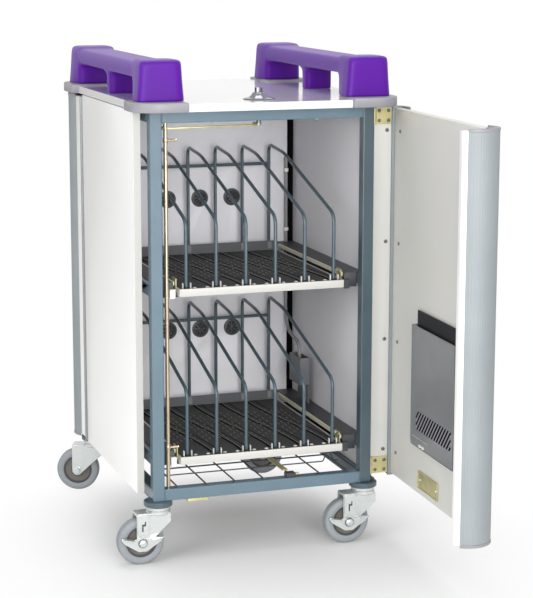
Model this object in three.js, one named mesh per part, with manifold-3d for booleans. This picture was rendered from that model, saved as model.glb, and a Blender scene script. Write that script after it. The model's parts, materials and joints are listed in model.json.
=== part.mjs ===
// A laptop charging cart: a steel ladder frame on four castors, clad in white boards, with two
// round-cornered doors, two sliding trays of wire dividers and a turn-knob rod lock.
// Millimetres, +Z up, front towards -Y. The origin is the middle of the footprint on the floor.

import * as THREE from 'three';
import { mergeVertices } from 'three/addons/utils/BufferGeometryUtils.js';
import Module from 'manifold-3d';

const wasm = await Module();
wasm.setup();

// Clearances
const gap = 0.3;
const runningGap = 0.5;

// Frame
const frameWidth = 490;
const frameDepth = 595;
const tube = 25;
const frameBottom = 134;
const frameTop = 954;
const castorPlateRadius = 30;
const castorPlateHeight = 10;
const castorPlugRadius = 11;
const standoffRadius = 10;
const standoffInset = 100;

// Boards
const board = 16;
const sidePanelGap = 10;
const sidePanelBottom = 145;
const sidePanelTop = 952;
const leftPanelFront = 36;
const leftPanelRearInset = 112;
const rightPanelFront = 56;
const rightPanelRearInset = 47;

// Top
const topWidth = 578;
const topFront = -57;
const topRearOverhang = 40;
const capWidth = 111;
const frontCapLength = 95;
const rearCapLength = 125;
const capOverhangSide = 18;
const capOverhangEnd = 12;
const capHeight = 20;

// Door section
const doorInnerHalfWidth = 253;
const frontDoorInnerFace = -28;
const rearDoorSetback = 9;
const columnRadius = 48;
const columnInset = 38;
const columnHook = 6;
const cornerBoardStop = 5;
const doorBottom = 147;
const doorTop = 946;
const columnOverrun = 6;
const columnTopOverrun = 4;

// Front door hinge
const frontHingeOffset = 6;
const frontHingeSetback = 18;
const frontDoorOpenDegrees = 88;
const hingeStripPastAxis = 2;
const freeStripEnd = 33;
const hingePlateHeight = 37;
const hingePlateThickness = 3;
const knuckleRadius = 5;
const hingePinRadius = 2.5;
const hingeLugThickness = 5;
const topLugThickness = 4;
const hingeLugReach = 13;
const hingeLugLength = 20;

// Rear door hinge
const rearHingeOutset = 2;
const rearHingeGap = 5;
const rearBarrelRadius = 3;
const rearPinRadius = 1.6;
const rearLeaf = 1.5;
const rearKnuckle = 40;
const rearFreeStripGap = 4;

// Front door fittings, measured along the door from its hinge corner
const pocketStart = 155;
const pocketLength = 230;
const pocketBottom = 254;
const pocketTop = 509;
const pocketDepth = 12;
const pocketWall = 2.5;
const strikeStart = 174;
const strikeLength = 112;
const strikeBottom = 160;
const strikeHeight = 39;
const strikeThickness = 3;

// Trays
const trayHalfWidth = 182;
const trayFront = 8;
const trayLength = 440;
const trayLip = 16.5;
const traySheet = 2;
const upperTrayBottom = 567;
const trayPitch = 360;
const trayFloor = 11;
const trayRim = 3;
const trayRearLip = 37;
const matThickness = 4;
const runnerSheet = 3;
const runnerFront = 30;
const runnerRear = 464;
const runnerGuide = 8;
const runnerTop = 28;
const runnerFlange = 30;
const ledgeOverlap = 10;
const trayRailRise = 3;

// Dividers
const dividerCount = 6;
const dividerPitch = 65.5;
const dividerWireRadius = 3.8;
const dividerFrontInset = 16;
const dividerFrontRise = 141;
const dividerSlopeRun = 321;
const dividerSlopeRise = 238;
const dividerTopRise = 248;
const dividerCrossRise = 203;
const dividerBend = 14;

// Back panel, base and electrics
const backPanelFront = 478;
const backPanelThickness = 6;
const backPanelRight = 218;
const grommetRadius = 18;
const grommetPitch = 78;
const grommetMiddle = 3;
const grommetUpper = 707;
const grommetLower = 397;
const gridWireRadius = 2.5;
const gridWireCount = 7;
const gridPitch = 64;
const gridCrossCount = 3;
const gridOverhang = 6;
const stripLength = 320;
const stripHeight = 45;
const stripDepth = 42;
const stripBottom = 590;
const plugHolderFront = 320;
const plugHolderRear = 394;
const plugHolderBottom = 280;
const plugHolderTop = 345;
const plugHolderDepth = 24;
const plugHolderPlate = 3;
const plugHolderWall = 3;
const leadRadius = 4;

// Handles
const handleWidth = 87;
const handleBarWidth = 80;
const handleBlockLength = 76;
const handleSetback = 35;
const handleSideInset = 21;
const handleHeight = 83.4;
const handleBarDrop = 5;
const handleBarHeight = 34;
const handleFootWidth = 62;
const handleFootLength = 36;
const handleRound = 12;

// Lock
const lockSetback = 38;
const lockFlangeRadius = 33;
const lockFlangeHeight = 3;
const lockConeTopRadius = 12;
const lockConeHeight = 11;
const lockKnobRadius = 9;
const lockKnobHeight = 10;
const spindleRadius = 5;
const crankLength = 25;
const crankWidth = 10;
const crankThickness = 4;
const crankTop = 920;
const crankPinRadius = 2;
const linkThickness = 3;
const lockRodX = -208;
const lockRodY = 16;
const lockRodRadius = 3;
const lockHookLength = 25;
const upperHook = 893;
const lowerHook = 246;

// Castors
const castorInset = 13;
const castorTrail = 40;
const wheelRadius = 50;
const wheelWidth = 28;
const wheelBore = 5.5;
const wheelRound = 7;
const hubRadius = 28;
const hubRecess = 4;
const axleRadius = 5;
const forkSheet = 3;
const forkClearance = 3;
const forkHeadRadius = 26;
const forkHeadHeight = 12;
const forkBridge = 5;
const forkEyeRadius = 12;
const forkHeel = 20;
const axleHeadRadius = 8;
const axleHeadLength = 7;
const pedalThickness = 3;
const pedalReach = 46;
const pedalTread = 12;
const castorTurns = { front_left: 0, front_right: 0, rear_left: -22, rear_right: -8 };

// Worked-out levels and faces
const frameHalf = frameWidth / 2;
const postInner = frameHalf - tube;
const sidePanelInner = frameHalf + sidePanelGap;
const leftPanelRear = frameDepth - leftPanelRearInset;
const rightPanelRear = frameDepth - rightPanelRearInset;
const topRear = frameDepth + topRearOverhang;
const topHalf = topWidth / 2;
const topBottom = frameTop + gap;
const topFace = topBottom + board;
const capFace = topBottom + capHeight;
const handleTop = capFace + gap + handleHeight;
const doorOuterHalfWidth = doorInnerHalfWidth + board;
const columnX = doorOuterHalfWidth - columnInset;
const frontColumnY = frontDoorInnerFace - board + columnInset;
const rearDoorInnerFace = frameDepth + rearDoorSetback;
const rearFreeStripStart = rightPanelRear + rearFreeStripGap;
const rearColumnY = rearDoorInnerFace + board - columnInset;
const boardStop = columnInset - board - cornerBoardStop;
const columnHookEdge = columnInset - board - gap - columnHook;
const frontHinge = new THREE.Vector3(frameHalf + frontHingeOffset, frontHingeSetback, doorBottom);
const rearHingeX = -sidePanelInner - board - rearHingeOutset;
const rearHinge = new THREE.Vector3(rearHingeX, leftPanelRear + rearHingeGap, doorBottom);
const castorPlateBottom = frameBottom - castorPlateHeight;
const gridLevel = frameBottom + tube + gap + gridWireRadius;
const lockAxis = new THREE.Vector3(0, lockSetback, crankTop);
const rodAxis = new THREE.Vector3(lockRodX, lockRodY, crankTop);

// Materials
function finish(color, roughness, metalness) {
  return () => new THREE.MeshStandardMaterial({ color, roughness, metalness });
}
const framePaint = finish(0x7b97a8, 0.45, 0.3);
const whiteBoard = finish(0xededeb, 0.4, 0);
const greyBoard = finish(0xaba9ae, 0.6, 0);
const doorBoard = finish(0xc9c8c5, 0.5, 0);
const aluminium = finish(0xaeb5b8, 0.35, 0.8);
const capPlastic = finish(0xb2b2b7, 0.5, 0);
const purplePlastic = finish(0x5b14b4, 0.4, 0);
const zinc = finish(0xc8b068, 0.4, 0.7);
const brightSteel = finish(0xe2e6e4, 0.3, 0.8);
const chrome = finish(0xdddddd, 0.1, 1);
const traySteel = finish(0xe7e6df, 0.5, 0.2);
const darkWire = finish(0x46555f, 0.5, 0.3);
const blackPlastic = finish(0x3a3a3c, 0.7, 0);
const darkSteel = finish(0x3c4146, 0.5, 0.3);
const greyPlastic = finish(0x6d7176, 0.5, 0);
const greyRubber = finish(0x9aa3aa, 0.8, 0);

// Solids
function toSolid(geometry) {
  const bare = new THREE.BufferGeometry();
  bare.setAttribute('position', geometry.getAttribute('position'));
  if (geometry.index) {
    bare.setIndex(geometry.index);
  }
  const merged = mergeVertices(bare, 1e-4);
  const vertProperties = new Float32Array(merged.getAttribute('position').array);
  const triVerts = new Uint32Array(merged.index.array);
  return new wasm.Manifold(new wasm.Mesh({ numProp: 3, vertProperties, triVerts }));
}

function toGeometry(solid) {
  const mesh = solid.getMesh();
  const geometry = new THREE.BufferGeometry();
  geometry.setAttribute('position', new THREE.BufferAttribute(new Float32Array(mesh.vertProperties), 3));
  geometry.setIndex(new THREE.BufferAttribute(new Uint32Array(mesh.triVerts), 1));
  geometry.computeVertexNormals();
  return geometry;
}

function block(x0, x1, y0, y1, z0, z1) {
  const geometry = new THREE.BoxGeometry(Math.abs(x1 - x0), Math.abs(y1 - y0), Math.abs(z1 - z0));
  geometry.translate((x0 + x1) / 2, (y0 + y1) / 2, (z0 + z1) / 2);
  return toSolid(geometry);
}

function outline(points) {
  return new THREE.Shape(points.map(([x, y]) => new THREE.Vector2(x, y)));
}

function prismZ(points, z0, z1) {
  const geometry = new THREE.ExtrudeGeometry(outline(points), { depth: z1 - z0, bevelEnabled: false });
  geometry.translate(0, 0, z0);
  return toSolid(geometry);
}

// An outline in X and Z, drawn out along Y
function prismY(points, y0, y1) {
  const geometry = new THREE.ExtrudeGeometry(outline(points), { depth: y1 - y0, bevelEnabled: false });
  geometry.rotateX(Math.PI / 2);
  geometry.translate(0, y1, 0);
  return toSolid(geometry);
}

function rod(from, to, radius, sides = 16) {
  const start = new THREE.Vector3(...from);
  const along = new THREE.Vector3(...to).sub(start);
  const geometry = new THREE.CylinderGeometry(radius, radius, along.length(), sides);
  geometry.translate(0, along.length() / 2, 0);
  const up = new THREE.Vector3(0, 1, 0);
  const turn = new THREE.Quaternion().setFromUnitVectors(up, along.clone().normalize());
  geometry.applyQuaternion(turn);
  geometry.translate(start.x, start.y, start.z);
  return toSolid(geometry);
}

function upright(x, y, radius, z0, z1, sides = 24) {
  return rod([x, y, z0], [x, y, z1], radius, sides);
}

// A bent wire: straight legs with a rounded bend of three rings at each corner
class BentPath extends THREE.Curve {
  constructor(corners, bendRadius) {
    super();
    const points = corners.map((corner) => new THREE.Vector3(...corner));
    this.rings = [points[0]];
    for (let index = 1; index < points.length - 1; index += 1) {
      const corner = points[index];
      const before = points[index - 1].clone().sub(corner).setLength(bendRadius).add(corner);
      const after = points[index + 1].clone().sub(corner).setLength(bendRadius).add(corner);
      const middle = before.clone().add(after).multiplyScalar(0.25).addScaledVector(corner, 0.5);
      this.rings.push(before, middle, after);
    }
    this.rings.push(points[points.length - 1]);
  }

  getPointAt(u, target = new THREE.Vector3()) {
    return target.copy(this.rings[Math.round(u * (this.rings.length - 1))]);
  }

  getTangentAt(u, target = new THREE.Vector3()) {
    const index = Math.round(u * (this.rings.length - 1));
    const here = this.rings[index];
    const last = this.rings[Math.max(index - 1, 0)];
    const next = this.rings[Math.min(index + 1, this.rings.length - 1)];
    const inward = here.clone().sub(last).normalize();
    return target.copy(next).sub(here).normalize().add(inward).normalize();
  }
}

function bentWire(corners, bendRadius, radius, sides) {
  const path = new BentPath(corners, bendRadius);
  const section = outline(arcPoints(0, 0, radius, 0, 360 - 360 / sides, sides - 1));
  const steps = path.rings.length - 1;
  return toSolid(new THREE.ExtrudeGeometry(section, { steps, extrudePath: path, bevelEnabled: false }));
}

function join(solids) {
  return solids.reduce((whole, solid) => whole.add(solid));
}

function roundedRectangle(x0, x1, y0, y1, radius, steps = 3) {
  const centres = [
    [x1 - radius, y1 - radius, 0],
    [x0 + radius, y1 - radius, 90],
    [x0 + radius, y0 + radius, 180],
    [x1 - radius, y0 + radius, 270],
  ];
  return centres.flatMap(([cx, cy, start]) => arcPoints(cx, cy, radius, start, start + 90, steps));
}

function arcPoints(cx, cy, radius, startDegrees, endDegrees, steps) {
  return Array.from({ length: steps + 1 }, (unused, index) => {
    const angle = THREE.MathUtils.degToRad(startDegrees + ((endDegrees - startDegrees) * index) / steps);
    return [cx + radius * Math.cos(angle), cy + radius * Math.sin(angle)];
  });
}

// Scene graph
const cart = new THREE.Group();
const body = new THREE.Group();
cart.add(body);

// A moving group turns about its pivot, and its pieces are drawn in the frame of the whole cart
function pivotGroup(parent, pivot) {
  const group = new THREE.Group();
  const parentPivot = parent.userData.pivot ?? new THREE.Vector3();
  group.position.copy(pivot).sub(parentPivot);
  group.userData.pivot = pivot.clone();
  parent.add(group);
  return group;
}

function place(name, solid, material, parent = body) {
  const mesh = new THREE.Mesh(toGeometry(solid), material());
  mesh.name = name;
  if (parent.userData.pivot) {
    mesh.position.copy(parent.userData.pivot).negate();
  }
  parent.add(mesh);
  return mesh;
}

// Frame
const upperTrayRail = upperTrayBottom + trayRailRise;
const trayRails = [upperTrayRail, upperTrayRail - trayPitch];

function sideFrame(side) {
  const inner = side * postInner;
  const outer = side * frameHalf;
  const pieces = [];
  for (const y of [0, frameDepth - tube]) {
    pieces.push(block(inner, outer, y, y + tube, frameBottom, frameTop));
  }
  for (const z of [frameBottom, frameTop - tube, ...trayRails]) {
    pieces.push(block(inner, outer, tube / 2, frameDepth - tube / 2, z, z + tube));
  }
  for (const y of [castorInset, frameDepth - castorInset]) {
    const x = side * (frameHalf - castorInset);
    pieces.push(upright(x, y, castorPlateRadius, castorPlateBottom, frameBottom - gap, 24));
    pieces.push(upright(x, y, castorPlugRadius, castorPlateBottom, frameBottom + 1, 12));
  }
  for (const y of [standoffInset, leftPanelRear - standoffInset]) {
    for (const z of [...trayRails, frameTop - tube]) {
      const level = z + tube / 2;
      const end = side * (sidePanelInner - gap);
      pieces.push(rod([outer - side, y, level], [end, y, level], standoffRadius, 10));
    }
  }
  return pieces;
}

function hingeLugs() {
  const lugFront = frontHinge.y - hingeLugLength / 2;
  const lugRear = frontHinge.y + hingeLugLength / 2;
  const lugEnd = frameHalf + hingeLugReach;
  const bottomLug = doorBottom - columnOverrun - 1;
  const topLug = doorTop + hingePlateThickness + gap;
  return [
    block(frameHalf - 1, lugEnd, lugFront, lugRear, bottomLug - hingeLugThickness, bottomLug),
    upright(frontHinge.x, frontHinge.y, hingePinRadius, bottomLug - 1, doorBottom + hingePlateHeight - 2),
    block(frameHalf - 1, lugEnd, lugFront, lugRear, topLug, topLug + topLugThickness),
    upright(frontHinge.x, frontHinge.y, hingePinRadius, topLug - hingePlateHeight + 2, topLug + 1),
  ];
}

place('left_side_frame', join(sideFrame(-1)), framePaint);
place('right_side_frame', join([...sideFrame(1), ...hingeLugs()]), framePaint);

for (const [end, y] of [['front', 0], ['rear', frameDepth - tube]]) {
  for (const [level, z] of [['top', frameTop - tube], ['bottom', frameBottom]]) {
    const half = postInner - gap;
    place(`${end}_${level}_rail`, block(-half, half, y, y + tube, z, z + tube), framePaint);
  }
}

// Cladding
function sidePanel(side, front, rear) {
  const outer = sidePanelInner + board;
  return block(side * sidePanelInner, side * outer, front, rear, sidePanelBottom, sidePanelTop);
}

place('left_side_panel', sidePanel(-1, leftPanelFront, leftPanelRear), whiteBoard);
place('right_side_panel', sidePanel(1, rightPanelFront, rightPanelRear), whiteBoard);

function topPanel() {
  const half = topHalf - capOverhangSide;
  const front = topFront + capOverhangEnd;
  const rear = topRear - capOverhangEnd;
  let panel = block(-half, half, front, rear, topBottom, topFace);
  for (const side of [-1, 1]) {
    const inner = side * (topHalf - capWidth - gap);
    const outer = side * (topHalf + 1);
    const frontEnd = topFront + frontCapLength + gap;
    const rearStart = topRear - rearCapLength - gap;
    panel = panel.subtract(block(inner, outer, topFront - 1, frontEnd, topBottom - 1, topFace + 1));
    panel = panel.subtract(block(inner, outer, rearStart, topRear + 1, topBottom - 1, topFace + 1));
  }
  const spindleHole = spindleRadius + runningGap;
  return panel.subtract(upright(lockAxis.x, lockAxis.y, spindleHole, topBottom - 1, topFace + 1));
}

place('top_panel', topPanel(), whiteBoard);

// A cap's rounded corner keeps the same centre as the door column below it
function cornerCap(sideX, sideY) {
  const edgeY = sideY < 0 ? topFront : topRear;
  const columnY = sideY < 0 ? frontColumnY : rearColumnY;
  const radiusX = topHalf - columnX;
  const radiusY = Math.abs(edgeY - columnY);
  const corner = arcPoints(0, 0, 1, 0, 90, 10).map(([a, b]) => [
    sideX * (columnX + radiusX * a),
    columnY + sideY * radiusY * b,
  ]);
  const innerX = sideX * (topHalf - capWidth);
  const innerY = edgeY - sideY * (sideY < 0 ? frontCapLength : rearCapLength);
  const points = [[sideX * topHalf, innerY], ...corner, [innerX, edgeY], [innerX, innerY]];
  return prismZ(points, topBottom, capFace);
}

for (const [end, sideY] of [['front', -1], ['rear', 1]]) {
  for (const [hand, sideX] of [['left', -1], ['right', 1]]) {
    place(`${end}_${hand}_corner_cap`, cornerCap(sideX, sideY), capPlastic);
  }
}

function roundedBlock(x0, x1, y0, y1, z0, z1, radius) {
  const shape = outline(roundedRectangle(x0 + radius, x1 - radius, y0 + radius, y1 - radius, radius / 2));
  const geometry = new THREE.ExtrudeGeometry(shape, {
    depth: z1 - z0,
    bevelThickness: radius,
    bevelSize: radius,
    bevelSegments: 3,
  });
  geometry.translate(0, 0, z0 - radius);
  return toSolid(geometry).intersect(block(x0 - 1, x1 + 1, y0 - 1, y1 + 1, z0, z1 + 1));
}

// One bar on two end blocks and a middle foot, flush on the left and stepped in on the right
function handle(left) {
  const front = topFront + handleSetback;
  const rear = topRear - handleSetback;
  const middle = (front + rear) / 2;
  const base = capFace + gap;
  const right = left + handleWidth;
  const barTop = handleTop - handleBarDrop;
  const barBottom = barTop - handleBarHeight;
  const footInset = (handleBarWidth - handleFootWidth) / 2;
  const section = roundedRectangle(left, left + handleBarWidth, barBottom, barTop, handleRound);
  return join([
    roundedBlock(left, right, front, front + handleBlockLength, base, handleTop, handleRound),
    roundedBlock(left, right, rear - handleBlockLength, rear, base, handleTop, handleRound),
    prismY(section, front + handleBlockLength / 2, rear - handleBlockLength / 2),
    block(
      left + footInset,
      left + footInset + handleFootWidth,
      middle - handleFootLength / 2,
      middle + handleFootLength / 2,
      topFace + gap,
      barBottom + handleRound,
    ),
  ]);
}

place('left_handle', handle(-topHalf + handleSideInset), purplePlastic);
place('right_handle', handle(topHalf - handleSideInset - handleWidth), purplePlastic);

// Inner back panel and base
function backPanel() {
  const bottom = gridLevel + gridWireRadius + gap;
  const top = frameTop - tube - gap;
  const rear = backPanelFront + backPanelThickness;
  let panel = block(-postInner + gap, backPanelRight, backPanelFront, rear, bottom, top);
  for (const z of [grommetUpper, grommetLower]) {
    for (const column of [-1, 0, 1]) {
      const x = grommetMiddle + column * grommetPitch;
      panel = panel.subtract(rod([x, backPanelFront - 1, z], [x, rear + 1, z], grommetRadius, 16));
    }
  }
  return panel;
}

place('inner_back_panel', backPanel(), greyBoard);

function baseGrid() {
  const wires = [];
  const front = gridOverhang;
  const rear = frameDepth - gridOverhang;
  const crossLevel = gridLevel - gridWireRadius * 1.5;
  const half = (gridPitch * (gridWireCount - 1)) / 2;
  for (let index = 0; index < gridWireCount; index += 1) {
    const x = -half + index * gridPitch;
    wires.push(rod([x, front, gridLevel], [x, rear, gridLevel], gridWireRadius, 8));
  }
  for (let index = 1; index <= gridCrossCount; index += 1) {
    const y = front + ((rear - front) * index) / (gridCrossCount + 1);
    const end = half + gridOverhang;
    wires.push(rod([-end, y, crossLevel], [end, y, crossLevel], gridWireRadius, 8));
  }
  return join(wires);
}

place('base_grid', baseGrid(), darkSteel);

// Electrics
const backPanelRear = backPanelFront + backPanelThickness;
const stripFront = backPanelRear + gap;
const stripHalf = stripLength / 2;
const stripRear = stripFront + stripDepth;
const stripTop = stripBottom + stripHeight;
place('power_strip', block(-stripHalf, stripHalf, stripFront, stripRear, stripBottom, stripTop), blackPlastic);

function plugHolder() {
  const back = postInner - gap;
  const front = back - plugHolderDepth;
  const plateBottom = upperTrayBottom - trayPitch + runnerTop + gap;
  const pocket = block(
    front + plugHolderWall,
    back - plugHolderWall,
    plugHolderFront + plugHolderWall,
    plugHolderRear - plugHolderWall,
    plugHolderBottom + plugHolderWall,
    plugHolderTop + 1,
  );
  const shell = block(front, back, plugHolderFront, plugHolderRear, plugHolderBottom, plugHolderTop);
  const plateFace = back - plugHolderPlate;
  const plate = block(plateFace, back, plugHolderFront, plugHolderRear, plateBottom, plugHolderTop);
  return shell.subtract(pocket).add(plate);
}

place('plug_holder', plugHolder(), greyPlastic);

// The lead leaves the back panel, is led down its corner and drops into the plug holder
const leadDropX = backPanelRight - 5;
const leadDropY = backPanelFront - 7;
const leadEndX = postInner - plugHolderDepth / 2 - gap;
const leadEndY = (plugHolderFront + plugHolderRear) / 2;
const leadRoute = [
  [leadDropX, backPanelFront - 0.4, 790],
  [leadDropX, backPanelFront - 4, 790],
  [leadDropX, leadDropY, 784],
  [leadDropX, leadDropY, 640],
  [leadDropX, leadDropY, 480],
  [leadDropX - 1, leadDropY - 4, 430],
  [leadDropX - 2, leadEndY + 92, 394],
  [leadEndX + 1, leadEndY + 50, 380],
  [leadEndX, leadEndY + 14, 374],
  [leadEndX, leadEndY + 1, 358],
  [leadEndX, leadEndY, plugHolderTop - 5],
  [leadEndX, leadEndY, plugHolderBottom + 12],
];

function powerLead() {
  const path = new THREE.CatmullRomCurve3(leadRoute.map((point) => new THREE.Vector3(...point)));
  const section = outline(arcPoints(0, 0, leadRadius, 0, 300, 5));
  const geometry = new THREE.ExtrudeGeometry(section, { steps: 30, extrudePath: path, bevelEnabled: false });
  return toSolid(geometry);
}

place('power_lead', powerLead(), blackPlastic);

// Trays, runners and dividers
const trayRear = trayFront + trayLength;

function runner(side, tray) {
  const webOuter = postInner - gap;
  const webInner = webOuter - runnerSheet;
  const ledgeTop = tray - gap;
  const ledgeBottom = ledgeTop - runnerSheet;
  const guideInner = trayHalfWidth + runningGap;
  const guideOuter = guideInner + runnerSheet;
  const flangeTop = tray + runnerTop;
  const flangeInner = webOuter - runnerFlange;
  const points = [
    [trayHalfWidth - ledgeOverlap, ledgeBottom],
    [webOuter, ledgeBottom],
    [webOuter, flangeTop],
    [flangeInner, flangeTop],
    [flangeInner, flangeTop - runnerSheet],
    [webInner, flangeTop - runnerSheet],
    [webInner, ledgeTop],
    [guideOuter, ledgeTop],
    [guideOuter, ledgeTop + runnerGuide],
    [guideInner, ledgeTop + runnerGuide],
    [guideInner, ledgeTop],
    [trayHalfWidth - ledgeOverlap, ledgeTop],
  ];
  const channel = prismY(points.map(([x, z]) => [side * x, z]), runnerFront, runnerRear);
  const endPlate = block(
    side * flangeInner,
    side * webOuter,
    runnerFront,
    runnerFront + runnerSheet,
    ledgeTop - 1,
    flangeTop,
  );
  return channel.add(endPlate);
}

// A pan with low rims, hollow below, and an upstand along its rear edge
function tray(bottom) {
  const top = bottom + trayLip;
  const floor = bottom + trayFloor;
  const sheet = block(-trayHalfWidth, trayHalfWidth, trayFront, trayRear, bottom, top);
  const hollow = block(
    -trayHalfWidth + traySheet,
    trayHalfWidth - traySheet,
    trayFront + traySheet,
    trayRear - traySheet,
    bottom - 1,
    floor - traySheet,
  );
  const inside = trayHalfWidth - trayRim;
  const pan = block(-inside, inside, trayFront + trayRim, trayRear - traySheet, floor, top + 1);
  const upstand = block(-inside, inside, trayRear - traySheet, trayRear, top - 1, bottom + trayRearLip);
  return sheet.subtract(hollow).subtract(pan).add(upstand);
}

function trayMat(bottom) {
  const base = bottom + trayFloor + gap;
  const half = trayHalfWidth - trayRim - gap;
  const front = trayFront + trayRim + gap;
  return block(-half, half, front, trayRear - traySheet - gap, base, base + matThickness);
}

// Each divider is a wire bent up from the front of the mat, over and down behind the rear upstand
function dividerRack(bottom) {
  const base = bottom + trayFloor + gap + matThickness + gap;
  const front = trayFront + dividerFrontInset;
  const rear = trayRear + gap + dividerWireRadius;
  const half = (dividerPitch * (dividerCount - 1)) / 2;
  const wires = [];
  for (let index = 0; index < dividerCount; index += 1) {
    const x = -half + index * dividerPitch;
    const corners = [
      [x, front, base],
      [x, front, base + dividerFrontRise],
      [x, front + dividerSlopeRun, base + dividerSlopeRise],
      [x, rear, base + dividerTopRise],
      [x, rear, bottom + trayFloor],
    ];
    wires.push(bentWire(corners, dividerBend, dividerWireRadius, 6));
  }
  const cross = base + dividerCrossRise;
  wires.push(rod([-half, rear, cross], [half, rear, cross], dividerWireRadius, 8));
  return join(wires);
}

const trayLevels = { upper: upperTrayBottom, lower: upperTrayBottom - trayPitch };
for (const [level, bottom] of Object.entries(trayLevels)) {
  for (const [hand, side] of [['left', -1], ['right', 1]]) {
    place(`${level}_${hand}_runner`, runner(side, bottom), darkSteel);
  }
  const slide = pivotGroup(body, new THREE.Vector3(0, trayFront, bottom));
  place(`${level}_tray`, tray(bottom), traySteel, slide);
  place(`${level}_tray_mat`, trayMat(bottom), blackPlastic, slide);
  place(`${level}_divider_rack`, dividerRack(bottom), darkWire, slide);
}

// Doors
// A column is an arc outside both boards, a corner square between their ends and an inner hook
function doorColumn(sideX, sideY, columnY) {
  const face = columnInset + gap;
  const innerFace = columnInset - board - gap;
  const stop = boardStop + gap;
  const hook = columnHookEdge;
  const startDegrees = -THREE.MathUtils.radToDeg(Math.acos(face / columnRadius));
  const arc = arcPoints(0, 0, columnRadius, startDegrees, 90 - startDegrees, 18);
  const points = [
    ...arc,
    [stop, face],
    [stop, innerFace],
    [hook, innerFace],
    [hook, hook],
    [innerFace, hook],
    [innerFace, stop],
    [face, stop],
  ];
  const placed = points.map(([a, b]) => [sideX * (columnX + a), columnY + sideY * b]);
  return prismZ(placed, doorBottom - columnOverrun, doorTop + columnTopOverrun);
}

const doorPanelHalf = columnX + boardStop;
const frontStripStart = frontColumnY - boardStop;
const rearStripEnd = rearColumnY + boardStop;

function doorStrip(side, y0, y1) {
  return block(side * doorInnerHalfWidth, side * doorOuterHalfWidth, y0, y1, doorBottom, doorTop);
}

const frontDoor = pivotGroup(body, frontHinge);
frontDoor.rotation.z = THREE.MathUtils.degToRad(frontDoorOpenDegrees);
const frontOuterFace = frontDoorInnerFace - board;
const frontPanel = block(
  -doorPanelHalf,
  doorPanelHalf,
  frontOuterFace,
  frontDoorInnerFace,
  doorBottom,
  doorTop,
);
place('front_door_panel', frontPanel, doorBoard, frontDoor);
place('front_door_hinge_column', doorColumn(1, -1, frontColumnY), aluminium, frontDoor);
place('front_door_free_column', doorColumn(-1, -1, frontColumnY), aluminium, frontDoor);

function hingePlate(z0, z1) {
  const outer = doorInnerHalfWidth - gap;
  const start = frontColumnY - columnHookEdge + gap;
  const plate = block(outer - hingePlateThickness, outer, start, frontHinge.y, z0, z1);
  const knuckle = upright(frontHinge.x, frontHinge.y, knuckleRadius, z0, z1);
  const bore = upright(frontHinge.x, frontHinge.y, hingePinRadius + gap, z0 - 1, z1 + 1);
  return plate.add(knuckle).subtract(bore);
}

const hingePlates = {
  bottom: [doorBottom, doorBottom + hingePlateHeight],
  top: [doorTop + hingePlateThickness - hingePlateHeight, doorTop + hingePlateThickness],
};

function hingeStrip() {
  let strip = doorStrip(1, frontStripStart, frontHinge.y + hingeStripPastAxis);
  for (const [z0, z1] of Object.values(hingePlates)) {
    strip = strip.subtract(upright(frontHinge.x, frontHinge.y, knuckleRadius + gap, z0 - gap, z1 + gap));
  }
  return strip;
}

place('front_door_hinge_strip', hingeStrip(), doorBoard, frontDoor);
place('front_door_free_strip', doorStrip(-1, frontStripStart, freeStripEnd), doorBoard, frontDoor);
for (const [end, [z0, z1]] of Object.entries(hingePlates)) {
  place(`front_door_hinge_plate_${end}`, hingePlate(z0, z1), zinc, frontDoor);
}

function doorPocket() {
  const right = doorInnerHalfWidth - pocketStart;
  const left = right - pocketLength;
  const back = frontDoorInnerFace + gap;
  const front = back + pocketDepth;
  const shell = block(left, right, back, front, pocketBottom, pocketTop);
  const space = block(
    left + pocketWall,
    right - pocketWall,
    back + pocketWall,
    front - pocketWall,
    pocketBottom + pocketWall,
    pocketTop + 1,
  );
  return shell.subtract(space);
}

place('door_pocket', doorPocket(), greyPlastic, frontDoor);

const strikeRight = doorInnerHalfWidth - strikeStart;
const strikeLeft = strikeRight - strikeLength;
const strikeBack = frontDoorInnerFace + gap;
const strikeTop = strikeBottom + strikeHeight;
place(
  'strike_plate',
  block(strikeLeft, strikeRight, strikeBack, strikeBack + strikeThickness, strikeBottom, strikeTop),
  zinc,
  frontDoor,
);

// Rear door, a deep lid on a full-height hinge
const rearLeafOffset = rearHingeGap - gap - rearLeaf;

function rearHingeFixed() {
  const x0 = rearHinge.x + 0.6;
  const x1 = -sidePanelInner;
  const y0 = leftPanelRear + gap;
  const leaf = block(x0, x1, y0, y0 + rearLeaf, doorBottom, doorTop);
  const pieces = [leaf, upright(rearHinge.x, rearHinge.y, rearPinRadius, doorBottom, doorTop, 12)];
  for (const z of [doorBottom, doorTop - rearKnuckle]) {
    pieces.push(upright(rearHinge.x, rearHinge.y, rearBarrelRadius, z, z + rearKnuckle, 16));
    pieces.push(block(rearHinge.x, rearHinge.x + 2, y0, rearHinge.y - rearPinRadius, z, z + rearKnuckle));
  }
  return join(pieces);
}

function rearHingeMoving() {
  const z0 = doorBottom + rearKnuckle + gap;
  const z1 = doorTop - rearKnuckle - gap;
  const y0 = rearHinge.y + rearLeafOffset;
  const leaf = block(rearHinge.x - 0.6, -doorInnerHalfWidth, y0, y0 + rearLeaf, z0, z1);
  const barrel = upright(rearHinge.x, rearHinge.y, rearBarrelRadius, z0, z1, 16);
  const web = block(rearHinge.x - 0.6, rearHinge.x + 2, rearHinge.y, y0 + rearLeaf, z0, z1);
  const bore = upright(rearHinge.x, rearHinge.y, rearPinRadius + gap, z0 - 1, z1 + 1, 12);
  return barrel.add(web).subtract(bore).add(leaf);
}

place('rear_hinge_fixed_leaf', rearHingeFixed(), zinc);

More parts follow.
